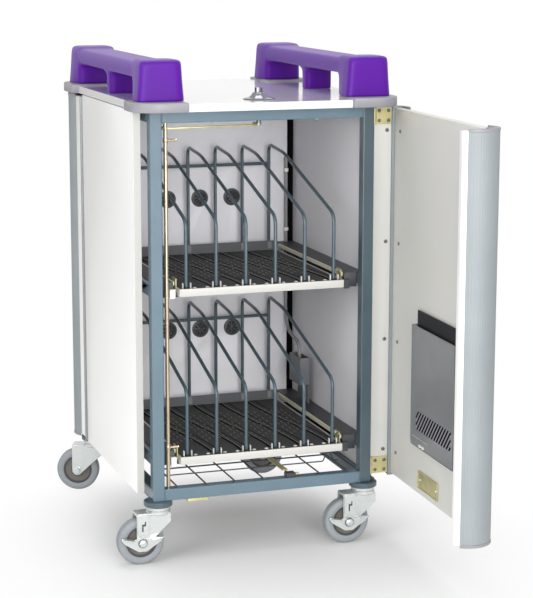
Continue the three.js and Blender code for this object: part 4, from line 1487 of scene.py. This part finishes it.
        # Two small white marks: painted glints on the pocket's foot.
        clips = Draft()
        for place in self.glint_places:
            x = right - place
            clips.prism(rounded(x - 5, x + 5, bottom + 3, bottom + 9, 2), front, front + 2.5, Axis.Y)
        self.fit(clips, "door_pocket_glints", WHITE_PLASTIC, 0.5)

    def _strike(self) -> None:
        """Draw the strike plate as a shallow zinc tray with a raised rim."""
        right = self.inner_half_width - self.strike_start
        left = right - self.strike_length
        low, high = self.strike_levels
        back = self.seat
        floor = back + 1.2
        plate = Draft().prism(rounded(left + 2, right - 2, low + 2, high - 2, 3), back, floor, Axis.Y)
        self.fit(plate, "strike_plate_floor", YELLOW_ZINC, stands_for="strike_plate")
        edge = rounded(left + 1.6, right - 1.6, low + 1.6, high - 1.6, 4)
        self.fit(Draft().rim(edge, back + 1.6, 1.5), "strike_plate_rim", YELLOW_ZINC)
        screws = Draft()
        for x in (left + self.strike_screw_inset, right - self.strike_screw_inset):
            screws.screw((x, floor, (low + high) / 2), Axis.Y, 1, 3.6)
        self.fit(screws, "strike_plate_screws", BRIGHT_ZINC)


@dataclass
class RearDoor(Assembly):
    """The deep rear door on its full-height hinge."""

    body: str = "rear_door"
    inner_face: float = 604.0
    column: DoorColumn = field(default_factory=DoorColumn)
    knuckle_pitch: float = 39.0
    knuckle_end: float = 4.0

    def build(self) -> None:
        """Dress the boards and the hinge and add the columns."""
        for board in ("panel", "hinge_strip", "free_strip"):
            dress(f"rear_door_{board}", WHITE_LAMINATE, BOARD_EASE)
        dress("rear_hinge_fixed_leaf", HINGE_METAL)
        dress("rear_hinge_moving_leaf", HINGE_METAL)
        middle_y = self.inner_face + self.column.board - self.column.inset
        for name, side in (("hinge", -1), ("free", 1)):
            self.column.build(self, f"rear_door_{name}_column", side, 1, middle_y)
        self._knuckles()

    def _knuckles(self) -> None:
        """Ring the hinge barrel where its knuckles meet."""
        axis = joint_place("rear_door_hinge")
        low, high = drawn_box("rear_hinge_moving_leaf")
        profile = sleeve(2.6, 3.35, -0.9, 0.9, (0.35, 0.4))
        rings = Draft()
        z = low.z + self.knuckle_pitch
        while z < high.z - self.knuckle_end:
            rings.lathe(profile, (axis.x, axis.y, z), steps=20)
            z += self.knuckle_pitch
        self.fit(rings, "rear_hinge_knuckle_rings", HINGE_METAL)


@dataclass
class TrayUnit(Assembly):
    """One sliding tray with its mat, its dividers and its pair of runners."""

    STUD = ((0, 1.5), (2.8, 1.3), (4.0, 0.6), (4.2, 0), (0, 0))
    COLLAR = ((3.9, 0), (6.2, 0), (6.2, 1.2), (4.8, 2.6), (3.9, 2.6), (3.9, 0))

    level: str
    tray_ease: float = 1.0
    divider_count: int = 6
    divider_pitch: float = 65.5
    wire: float = 3.8
    front_rise: float = 141.0
    slope_run: float = 321.0
    slope_rise: float = 238.0
    top_rise: float = 248.0
    cross_rise: float = 203.0
    bend: float = 20.0
    curve_width: float = 5.5
    curve_edge: float = 2.0
    curve_steps: int = 14
    curve_ends: tuple = (6.0, 22.0)
    dash: tuple = (1.3, 15.0, 0.9)
    dash_gap: float = 14.0
    dash_columns: int = 5
    dash_start: float = 110.0
    dash_share: float = 0.55
    dash_margin: float = 9.0
    guide_place: float = 8.5
    guide_half: float = 0.7
    guide_height: float = 12.0
    stud_place: float = 14.0
    bracket_span: tuple = (22.0, 50.0)
    bracket_faces: tuple = (0.8, 2.8)
    cover_end: float = 233.2
    cover_rear: float = 476.0
    cover_sheet: float = 1.2
    cover_fold: float = 5.0

    def __post_init__(self) -> None:
        """Name the tray's body and find the corners of the tray and of its mat."""
        self.body = f"{self.level}_tray_unit"
        self.tray_low, self.tray_high = drawn_box(f"{self.level}_tray")
        self.mat_low, self.mat_high = drawn_box(f"{self.level}_tray_mat")

    def build(self) -> None:
        """Dress the tray and add its mat, dividers and runner fittings."""
        dress(f"{self.level}_tray", TRAY_PAINT, self.tray_ease)
        self._rear_lip()
        self._mat()
        self._dividers()
        self._runners()

    def bay_lines(self) -> list[float]:
        """Return each divider's place across the tray."""
        half = self.divider_pitch * (self.divider_count - 1) / 2
        return [-half + i * self.divider_pitch for i in range(self.divider_count)]

    def _rear_lip(self) -> None:
        """Face the rear upstand in grey, with a small clip in front of each divider's rear leg."""
        mat_low, mat_high, high = self.mat_low, self.mat_high, self.tray_high
        face = high.y - 2.0
        lip = Draft().box(
            (mat_low.x + 0.4, face - 0.9, mat_high.z + 0.2), (mat_high.x - 0.4, face - 0.2, high.z + 0.3),
        )
        self.fit(lip, f"{self.level}_tray_lip_face", LIP_PAINT, 0.2)
        clips = Draft()
        for x in self.bay_lines():
            outline = rounded(x - 5, x + 5, mat_high.z + 3, high.z - 2, 2)
            clips.prism(outline, face - 2.0, face - 1.0, Axis.Y)
        self.fit(clips, f"{self.level}_tray_lip_clips", SMOKE_PLASTIC, 0.3)

    def _mat(self) -> None:
        """Draw the moulded mat: a plate; in each bay curved cable grooves as near-black strips of painted
        shade, a lighter strip of painted highlight beside each and dashes lightened as painted highlights;
        studs and leg guides.
        """
        node = f"{self.level}_tray_mat"
        low, high = self.mat_low, self.mat_high
        plate = Draft().prism(rounded(low.x, high.x, low.y, high.y, 4), low.z, high.z)
        self.fit(plate, f"{node}_plate", MAT_PLASTIC, 0.8, stands_for=node)
        curves, edges, dashes, studs, guides = Draft(), Draft(), Draft(), Draft(), Draft()
        lines = self.bay_lines()
        for left, right in zip(lines, lines[1:]):
            start, end = left + 4, right - 11
            beside = self.curve_width + 0.4
            self._curve(curves, (start, end), self.curve_width, 0.5)
            self._curve(edges, (start + beside, end + beside), self.curve_edge, 0.9)
            self._curve(curves, (left + 24, right + 9), self.curve_edge, 0.3)
            self._dashes(dashes, left, right)
            middle = (left + right) / 2
            for x in (middle - self.stud_place, middle + self.stud_place):
                studs.lathe(self.STUD, (x, low.y + 14, high.z), steps=16)
        for x in lines:
            for side, _ in SIDES:
                left = x + side * self.guide_place - self.guide_half
                right = left + 2 * self.guide_half
                guides.box((left, low.y + 6, high.z), (right, low.y + 13, high.z + self.guide_height))
        # Near-black strips: painted shade in the grooves; lighter strips and dashes: painted highlights.
        self.fit(curves, f"{node}_curves", GROOVE_SHADE)
        self.fit(edges, f"{node}_curve_edges", MAT_HIGHLIGHT)
        self.fit(dashes, f"{node}_dashes", MAT_HIGHLIGHT)
        self.fit(studs, f"{node}_studs", WHITE_PLASTIC)
        self.fit(guides, f"{node}_leg_guides", WHITE_PLASTIC, 0.4)

    def _curve(self, draft: Draft, ends: Point, width: float, height: float) -> None:
        """Draw one S-shaped path from the rear of a bay's left side to the front of its right side.

        Args:
            draft: The draft that takes the path.
            ends: The path's places across the tray, at the rear and at the front.
            width: The path's width.
            height: How far it stands above the mat.
        """
        top = self.mat_high.z
        rear, front = self.mat_high.y - self.curve_ends[0], self.mat_low.y + self.curve_ends[1]
        points = []
        for i in range(self.curve_steps + 1):
            t = i / self.curve_steps
            points.append((ends[0] + (ends[1] - ends[0]) * smoothstep(t), rear + (front - rear) * t))
        other = [(x + width, y) for x, y in reversed(points)]
        draft.prism(points + other, top - 0.2, top + height)

    def _dashes(self, draft: Draft, left: float, right: float) -> None:
        """Draw one bay's staggered dashes, light as painted highlights.

        Args:
            draft: The draft that takes the dashes.
            left: The divider on the bay's left.
            right: The divider on its right.
        """
        low, high = self.mat_low, self.mat_high
        width, run, rise = self.dash
        pitch = run + self.dash_gap
        rows = int((high.y - low.y) * self.dash_share / pitch)
        start, span = left + self.dash_margin, right - left - 2 * self.dash_margin
        for row in range(rows):
            for column in range(self.dash_columns):
                x = start + span * column / (self.dash_columns - 1)
                y = low.y + self.dash_start + row * pitch + (pitch / 2 if column % 2 else 0)
                draft.box((x - width / 2, y, high.z - 0.2), (x + width / 2, y + run, high.z + rise))

    def _dividers(self) -> None:
        """Draw the bent divider wires and the cross wire behind them."""
        node = f"{self.level}_divider_rack"
        low, high = drawn_box(node)
        base = self.mat_high.z + 0.3
        front, rear = low.y + self.wire, high.y - self.wire
        wires, collars = Draft(), Draft()
        lines = self.bay_lines()
        for x in lines:
            corners = [
                (x, front, base),
                (x, front, base + self.front_rise),
                (x, front + self.slope_run, base + self.slope_rise),
                (x, rear, base + self.top_rise),
                (x, rear, low.z),
            ]
            wires.sweep(filleted(corners, self.bend, 8), self.wire, 16)
            collars.lathe(self.COLLAR, (x, front, base), steps=16)
        cross = base + self.cross_rise
        wires.rod((lines[0], rear, cross), (lines[-1], rear, cross), self.wire, 16)
        self.fit(wires, f"{node}_wires", DIVIDER_COAT, stands_for=node)
        self.fit(collars, f"{node}_collars", BLACK_PLASTIC)

    def _runners(self) -> None:
        """Dress the runners and add their covers, wear strips, brackets and stops."""
        edge = self.tray_high.x + 4.0
        for side, hand in SIDES:
            node = f"{self.level}_{hand}_runner"
            dress(node, DARK_STEEL, 0.5)
            low, high = drawn_box(node)
            self._cover(node, side, low, high)
            strip = Draft().box(
                (side * edge, low.y + 6, high.z - 8), (side * (edge + 4.0), high.y - 16, high.z + 0.5),
            )
            self.fit(strip, f"{node}_wear_strip", WEAR_COAT, 0.6, body=ROOT)
            self._bracket(f"{self.level}_tray_{hand}_bracket", side, high.z)
            stop = Draft().box(
                (side * (edge + 1.4), low.y - 9, low.z - 2), (side * (edge + 14), low.y - 0.4, low.z + 18),
            )
            self.fit(stop, f"{node}_stop", WHITE_PLASTIC if side < 0 else DARK_STEEL, 1.2, body=ROOT)

    def _bracket(self, name: str, side: int, top: float) -> None:
        """Stand the slide's zinc bracket beside the tray's front corner, with its two screws.

        Args:
            name: The piece's name.
            side: One on the right, minus one on the left.
            top: The runner's top.
        """
        near, far = (self.tray_low.y + place for place in self.bracket_span)
        inner, outer = (side * (self.tray_high.x + face) for face in self.bracket_faces)
        outline = rounded(near, far, self.tray_low.z + 4, top + 8, 2.5)
        plate = Draft().prism(outline, inner, outer, Axis.X)
        self.fit(plate, name, YELLOW_ZINC, 0.4)
        screws = Draft()
        for y in (near + 6, far - 6):
            screws.screw((inner, y, top + 3), Axis.X, -side, 2.6)
        self.fit(screws, f"{name}_screws", BRIGHT_ZINC)

    def _cover(self, node: str, side: int, low: Vector, high: Vector) -> None:
        """Cap the runner and the rail behind it with a dark folded cover.

        Args:
            node: The runner's name.
            side: One on the right, minus one on the left.
            low: The runner's low corner.
            high: The runner's high corner.
        """
        inner = low.x if side > 0 else -high.x
        inner = max(inner, self.tray_high.x + 9.4)
        sheet, end = self.cover_sheet, self.cover_end
        under = high.z + 0.2
        fold = under - self.cover_fold
        points = [
            (inner, fold), (inner, under + sheet), (end, under + sheet), (end, under),
            (inner + sheet, under), (inner + sheet, fold),
        ]
        cover = Draft().prism([(side * x, z) for x, z in points], low.y - 2, self.cover_rear, Axis.Y)
        self.fit(cover, f"{node}_rail_cover", DARK_STEEL, 0.4, body=ROOT)


@dataclass
class RodLock(Assembly):
    """The turn knob on the top and the rod that it works."""

    PIN = ((0, -8.3), (1.5, -8.3), (2, -7.8), (2, -3), (0, -3))

    rod_radius: float = 4.2
    hook_radius: float = 2.6
    hook_length: float = 25.0
    hook_levels: tuple = (893.0, 246.0)
    knob_radius: float = 9.0
    knob_flats: int = 8
    knob_flute: float = 1.6
    spindle_radius: float = 5.0
    spindle_drop: float = 3.9
    flange_radius: float = 33.0
    flange_bore: float = 5.6
    crank_half: float = 5.0
    crank_sheet: float = 4.0
    crank_throw: float = 25.0

    def build(self) -> None:
        """Draw the polished fittings and the zinc rod work."""
        self._escutcheon()
        self._knob()
        dress("lock_link", YELLOW_ZINC, 0.4)
        self._rod()

    def _escutcheon(self) -> None:
        """Turn the chrome flange and cone."""
        low, high = drawn_box("lock_escutcheon")
        rise = high.z - low.z
        r, bore = self.flange_radius, self.flange_bore
        profile = [
            (bore, 0), (r - 0.5, 0), (r, 0.6), (r - 0.6, 1.6), (r - 5, 2.6), (r - 12, 3.4), (19, 5.4),
            (15.4, 9), (13.4, rise - 1.6), (12.2, rise - 0.3), (11.4, rise), (bore, rise), (bore, 0),
        ]
        centre = ((low.x + high.x) / 2, (low.y + high.y) / 2, low.z)
        cone = Draft().lathe(profile, centre, steps=64)
        self.fit(cone, "lock_escutcheon_turned", CHROME, stands_for="lock_escutcheon")

    def _knob(self) -> None:
        """Turn the fluted knob, its spindle and its crank."""
        axis = joint_place("lock_turn")
        foot = axis.z - self.spindle_drop
        top = drawn_box("lock_escutcheon")[1].z + 0.3
        body = "lock_knob_unit"
        steps = self.knob_flats * 6
        outline = []
        for i in range(steps):
            angle = 2 * math.pi * i / steps
            radius = self.knob_radius - self.knob_flute * abs(math.sin(angle * self.knob_flats / 2))
            outline.append((axis.x + radius * math.cos(angle), axis.y + radius * math.sin(angle)))
        knob = Draft().prism(outline, top, drawn_box("lock_knob")[1].z)
        self.fit(knob, "lock_knob_grip", CHROME, 0.9, stands_for="lock_knob", body=body)
        r = self.spindle_radius
        profile = [(0, foot), (r - 0.6, foot), (r, foot + 0.6), (r, top + 1), (0, top + 1)]
        spindle = Draft().lathe(profile, (axis.x, axis.y, 0), steps=28)
        self.fit(spindle, "lock_spindle", SCREW_STEEL, body=body)
        self._crank("lock_knob_crank", axis, body)

    def _crank(self, name: str, axis: Vector, body: str) -> None:
        """Draw a crank arm with its pin.

        Args:
            name: The piece's name.
            axis: The turning axis, at the arm's top face.
            body: The CAD body that it rides on.
        """
        half, throw = self.crank_half, axis.y + self.crank_throw
        outline = rounded(axis.x - half, axis.x + half, axis.y - half, throw + half, half - 0.1)
        arm = Draft().prism(outline, axis.z - self.crank_sheet, axis.z)
        self.fit(arm, name, YELLOW_ZINC, 0.4, body=body)
        pin = Draft().lathe(self.PIN, (axis.x, throw, axis.z), steps=20)
        self.fit(pin, f"{name}_pin", BRIGHT_ZINC, body=body)

    def _rod(self) -> None:
        """Draw the long rod, its two hooks with their collars, and its crank."""
        low, high = drawn_box("lock_rod")
        axis = joint_place("lock_rod_turn")
        body = "lock_rod_unit"
        r = self.rod_radius
        rod = Draft().lathe(sleeve(0, r, low.z, high.z, (0.6, 0.6)), (axis.x, axis.y, 0), steps=24)
        self.fit(rod, "lock_rod_bar", ROD_ZINC, stands_for="lock_rod", body=body)
        hooks, collars = Draft(), Draft()
        ring = sleeve(r, r + 1.2, -5, 5, (0.3, 0.6))
        tip = axis.x + self.hook_length
        for z in self.hook_levels:
            path = [(axis.x, axis.y, z), (tip - 3, axis.y, z), (tip - 2, axis.y, z + 2)]
            hooks.sweep(filleted(path, 1.2, 4), self.hook_radius, 14)
            collars.lathe(ring, (axis.x, axis.y, z), steps=22)
        self.fit(hooks, "lock_rod_hooks", ROD_ZINC, body=body)
        self.fit(collars, "lock_rod_collars", ROD_ZINC, body=body)
        self._crank("lock_rod_crank", axis, body)


@dataclass
class Electrics(Assembly):
    """The power strip, the plug holder and the lead between them."""

    strip_ease: float = 3.0
    strip_margin: float = 15.0
    socket_count: int = 6
    socket_half: tuple = (19.0, 17.0)
    hole_half: tuple = (2.0, 3.4)
    hole_places: tuple = ((0.0, 8.0), (-7.5, -5.0), (7.5, -5.0))
    holder_ease: float = 1.2
    lead_radius: float = 4.0
    lead_drop: tuple = (213.0, 471.0)
    lead_start: float = 790.0
    lead_bend: float = 480.0
    lead_steps: int = 6
    clip_levels: tuple = (766.0, 626.0, 500.0)

    def build(self) -> None:
        """Draw the strip's sockets, the holder and the lead."""
        dress("power_strip", BLACK_PLASTIC, self.strip_ease)
        dress("plug_holder", HOLDER_PLASTIC, self.holder_ease)
        self._sockets()
        self._lead()

    def _sockets(self) -> None:
        """Set a row of plain three-holed sockets on the strip's rear face, with black patches as painted
        shade in the holes.
        """
        low, high = drawn_box("power_strip")
        faces, holes = Draft(), Draft()
        pitch = (high.x - low.x - 2 * self.strip_margin) / self.socket_count
        z = (low.z + high.z) / 2
        wide, tall = self.socket_half
        hole_wide, hole_tall = self.hole_half
        for i in range(self.socket_count):
            x = low.x + self.strip_margin + pitch * (i + 0.5)
            face = rounded(x - wide, x + wide, z - tall, z + tall, 5)
            faces.prism(face, high.y + 0.2, high.y + 2.2, Axis.Y)
            for across, up in self.hole_places:
                hole_x, hole_z = x + across, z + up
                hole = rounded(
                    hole_x - hole_wide, hole_x + hole_wide, hole_z - hole_tall, hole_z + hole_tall, 0.8,
                )
                holes.prism(hole, high.y + 2.0, high.y + 2.5, Axis.Y)
        self.fit(faces, "power_strip_socket_faces", WHITE_PLASTIC, 0.5)
        self.fit(holes, "power_strip_socket_hole_shade", BLACK_PLASTIC)

    def _route(self) -> list[tuple[float, float, float]]:
        """Take the lead out of the back panel, down its corner and into the plug holder.

        Returns:
            The points that it passes.
        """
        x, y = self.lead_drop
        start, bend = self.lead_start, self.lead_bend
        panel = drawn_box("inner_back_panel")[0].y
        low, high = drawn_box("plug_holder")
        end_x, end_y = (low.x + high.x) / 2, (low.y + high.y) / 2
        return [
            (x, panel - 0.4, start),
            (x, panel - 4, start),
            (x, y, start - 6),
            (x, y, (start + bend) / 2),
            (x, y, bend),
            (x - 1, y - 4, bend - 50),
            (x - 2, end_y + 92, bend - 86),
            (end_x + 1, end_y + 50, bend - 100),
            (end_x, end_y + 14, bend - 106),
            (end_x, end_y + 1, bend - 122),
            (end_x, end_y, high.z - 5),
            (end_x, end_y, high.z - 53),
        ]

    def _lead(self) -> None:
        """Draw the lead as a smooth curve along its route, with the clips that hold it."""
        points = [Vector(p) for p in self._route()]
        path = []
        padded = [points[0] * 2 - points[1], *points, points[-1] * 2 - points[-2]]
        for a, b, c, d in zip(padded, padded[1:], padded[2:], padded[3:]):
            for i in range(self.lead_steps):
                t = i / self.lead_steps
                square, cube = a * 2 - b * 5 + c * 4 - d, b * 3 - a - c * 3 + d
                path.append((b * 2 + (c - a) * t + square * t ** 2 + cube * t ** 3) / 2)
        path.append(points[-1])
        lead = Draft().sweep(path, self.lead_radius, 14)
        self.fit(lead, "power_lead_cable", LEAD_SHEATH, stands_for="power_lead")
        clips = Draft()
        x, y = self.lead_drop
        ring = sleeve(4.1, 5.8, -4, 4, (0.4, 0.6))
        for z in self.clip_levels:
            clips.lathe(ring, (x, y, z), steps=22)
            clips.box((x - 2.5, y + 3.6, z - 4), (x + 2.5, y + 6.6, z + 4))
        self.fit(clips, "power_lead_clips", WHITE_PLASTIC)


@dataclass
class Castor(Assembly):
    """One swivel castor, drawn straight and turned about its swivel."""

    WASHER = ((0, 0), (10.2, 0), (10.2, -1.2), (0, -1.2))
    NUT = ((0, -6.0), (5.4, -6.0), (8.2, -5.0), (8.6, -4.2), (8.6, -1.3), (0, -1.3))

    corner: str
    trail: float = 40.0
    wheel_radius: float = 50.0
    wheel_width: float = 28.0
    tyre_round: float = 7.5
    leg_gap: float = 3.0
    sheet: float = 3.0
    head_radius: float = 26.0
    head_height: float = 12.0
    head_groove: float = 2.2
    eye_radius: float = 12.0
    housing_rise: float = 17.0
    pedal_reach: float = 46.0
    pedal_rim: float = 11.3
    pedal_sheet: float = 3.0
    tread_depth: float = 11.5

    def __post_init__(self) -> None:
        """Find the castor's axes in the record, and from them the fork's main places."""
        self.body = f"{self.corner}_swivel"
        self.pivot = joint_place(f"{self.corner}_castor_swivel")
        spin = joint(f"{self.corner}_wheel_spin")["axis"]
        turn = math.atan2(-spin[0], spin[1])
        self.placement = Matrix.Translation((self.pivot.x, self.pivot.y, 0)) @ Matrix.Rotation(turn, 4, "Z")
        self.braked = f"{self.corner}_brake_pedal" in frame["nodes"]
        self.axle = (-self.trail, 0, self.wheel_radius)
        self.inner = self.wheel_width / 2 + self.leg_gap
        self.outer = self.inner + self.sheet

    def build(self) -> None:
        """Draw the fork, the wheel and, on the front pair, the brake."""
        node = f"{self.corner}_castor_fork"
        top = self.pivot.z - 0.3
        self._fork(node, top, top - self.head_height)
        if self.braked:
            self._housing(node, top - self.head_height)
        self._wheel(f"{self.corner}_castor_wheel", f"{self.corner}_wheel")
        if self.braked:
            self._brake(f"{self.corner}_brake_pedal", f"{self.corner}_brake")

    def _fork(self, node: str, top: float, shoulder: float) -> None:
        """Draw the pressed fork, its swivel head and its axle bolt.

        Args:
            node: The fork's name.
            top: The level of the head's top.
            shoulder: The level of the fork's bridge.
        """
        inner, outer, head = self.inner, self.outer, self.head_radius
        axle = -self.trail
        heel, toe = head - self.sheet, axle - self.eye_radius
        leg = [
            (toe, shoulder - 2), *arc((axle, self.wheel_radius), self.eye_radius, 180, 320, 12),
            (heel, shoulder - 20), (heel, shoulder - 2),
        ]
        fork = Draft().prism(leg, -outer, -inner, Axis.Y).prism(leg, inner, outer, Axis.Y)
        fork.prism(rounded(toe, heel, -outer, outer, 5), shoulder - 5, shoulder)
        self.fit(fork, f"{node}_pressing", BRIGHT_ZINC, 1.2, stands_for=node)
        groove = head - self.head_groove
        skirt = [
            (0, shoulder - 5.2), (heel + 1, shoulder - 5.2), (head, shoulder - 3), (head, shoulder + 3.2),
            (groove, shoulder + 4.4), (groove, shoulder + 5.6), (head, shoulder + 6.6),
            (head, top - 1.6), (head - 1.6, top), (0, top),
        ]
        self.fit(Draft().lathe(skirt, (0, 0, 0), steps=48), f"{node}_head", BRIGHT_ZINC)
        bolt = both_faces([
            (0, outer + 7), (6.2, outer + 7), (7.6, outer + 6), (8, outer + 4.6), (8, outer - 0.4),
            (5, outer - 0.4),
        ])
        self.fit(Draft().lathe(bolt, self.axle, Axis.Y, 30), f"{node}_axle_bolt", BRIGHT_ZINC)

    def _housing(self, node: str, shoulder: float) -> None:
        """Add the brake's narrow housing in front of the fork, with its stepped slot drawn as thin dark
        plates, painted shade in the opening.

        Args:
            node: The fork's name.
            shoulder: The level of the fork's bridge.
        """
        x, face = -self.trail, -self.outer
        low = self.wheel_radius + self.housing_rise
        outline = rounded(x - 10, x + 13, low, shoulder + 1.5, 2.5)
        plate = Draft().prism(outline, face - 3.6, face - 0.3, Axis.Y)
        self.fit(plate, f"{node}_brake_housing", BRIGHT_ZINC, 0.8)
        slot = Draft()
        for x0, x1, z0, z1 in ((-1.5, 1.5, 8, 24), (1.5, 7, 20, 24), (4.4, 7, 24, 30)):
            slot.box((x + x0, face - 3.9, low + z0), (x + x1, face - 3.5, low + z1))
        self.fit(slot, f"{node}_brake_slot_shade", DARK_STEEL)
        lid = Draft().box((x - 12, face - 3.2, shoulder + 0.3), (x + 13, face + 14, shoulder + 2.2))
        self.fit(lid, f"{node}_brake_lid", BRIGHT_ZINC, 0.6)

    def _wheel(self, node: str, body: str) -> None:
        """Turn the tyre, the stepped hub and its rim rings.

        Args:
            node: The wheel's name.
            body: The wheel's body.
        """
        half, turn = self.wheel_width / 2, self.tyre_round
        side = [(33.5, half - 1.6), (35, half - 0.4), (41, half)]
        side += arc((self.wheel_radius - turn, half - turn), turn, 70, 8, 8)
        tyre = Draft().lathe(both_faces(side), self.axle, Axis.Y, 72)
        self.fit(tyre, f"{node}_tyre", GREY_TYRE, stands_for=node, body=body)
        rim = [
            (5.6, half - 0.2), (9.5, half - 0.2), (10.2, half - 1.0), (10.2, half - 3.4),
            (15.5, half - 4.2), (16.2, half - 3.2), (22.5, half - 3.0), (23.2, half - 4.2),
            (28.2, half - 3.6), (29.0, half - 1.8), (33.3, half - 1.9),
        ]
        self.fit(Draft().lathe(both_faces(rim), self.axle, Axis.Y, 64), f"{node}_hub", HUB_PLASTIC, body=body)
        rings = Draft()
        for facing, _ in SIDES:
            low, high = facing * (half - 1.4), facing * (half - 0.6)
            profile = [(29.6, low), (33.4, low), (33.4, high), (29.6, high), (29.6, low)]
            rings.lathe(profile, self.axle, Axis.Y, 64)
        self.fit(rings, f"{node}_rim_rings", DARK_STEEL, body=body)

    def _brake(self, node: str, body: str) -> None:
        """Draw the winged brake pedal with its two bent treads.

        Args:
            node: The pedal's name.
            body: The pedal's body.
        """
        rear = -self.outer - 0.3
        front = rear - self.pedal_sheet
        reach, rim = self.pedal_reach, self.pedal_rim
        x0, z0 = -self.trail, self.wheel_radius
        half = [
            (9.0, -18.5), (16.0, -14.0), (reach * 0.86, 1.0), (reach, rim * 0.95), (reach * 0.92, rim + 2.6),
            (rim * 1.9, rim * 0.75), (rim * 0.6, rim * 0.9),
        ]
        wing = [(-x, z) for x, z in reversed(half)] + half
        plate = Draft().prism([(x0 + x, z0 + z) for x, z in wing], front, rear, Axis.Y)
        self.fit(plate, f"{node}_wings", BRIGHT_ZINC, 0.7, stands_for=node, body=body)
        centre = (x0, front, z0)
        self.fit(Draft().lathe(self.WASHER, centre, Axis.Y), f"{node}_washer", SCREW_STEEL, body=body)
        self.fit(Draft().lathe(self.NUT, centre, Axis.Y, 6), f"{node}_nut", BRIGHT_ZINC, 0.4, body=body)
        start, end, low = rim * 1.7, reach * 0.92, rim * 0.6
        section = ((start, low), (end, rim + 0.6), (end, rim + 2.8), (start, low + 2.4))
        for side, hand in SIDES:
            corners = [(x0 + side * x, z0 + z) for x, z in section]
            tread = Draft().prism(corners, front - self.tread_depth, rear, Axis.Y)
            self.fit(tread, f"{node}_{hand}_tread", BRIGHT_ZINC, 0.8, body=body)


def main() -> None:
    """Build the cart's looks, sub-assembly by sub-assembly."""
    logging.basicConfig(level=logging.INFO)
    PhotoCamera().build()
    Studio().build()
    SteelFrame().build()
    Cladding().build()
    for _, hand in SIDES:
        PushHandle(hand).build()
    FrontDoor().build()
    RearDoor().build()
    for level in ("upper", "lower"):
        TrayUnit(level).build()
    RodLock().build()
    Electrics().build()
    for corner in CORNERS:
        Castor(corner).build()


if __name__ == "__main__":
    main()
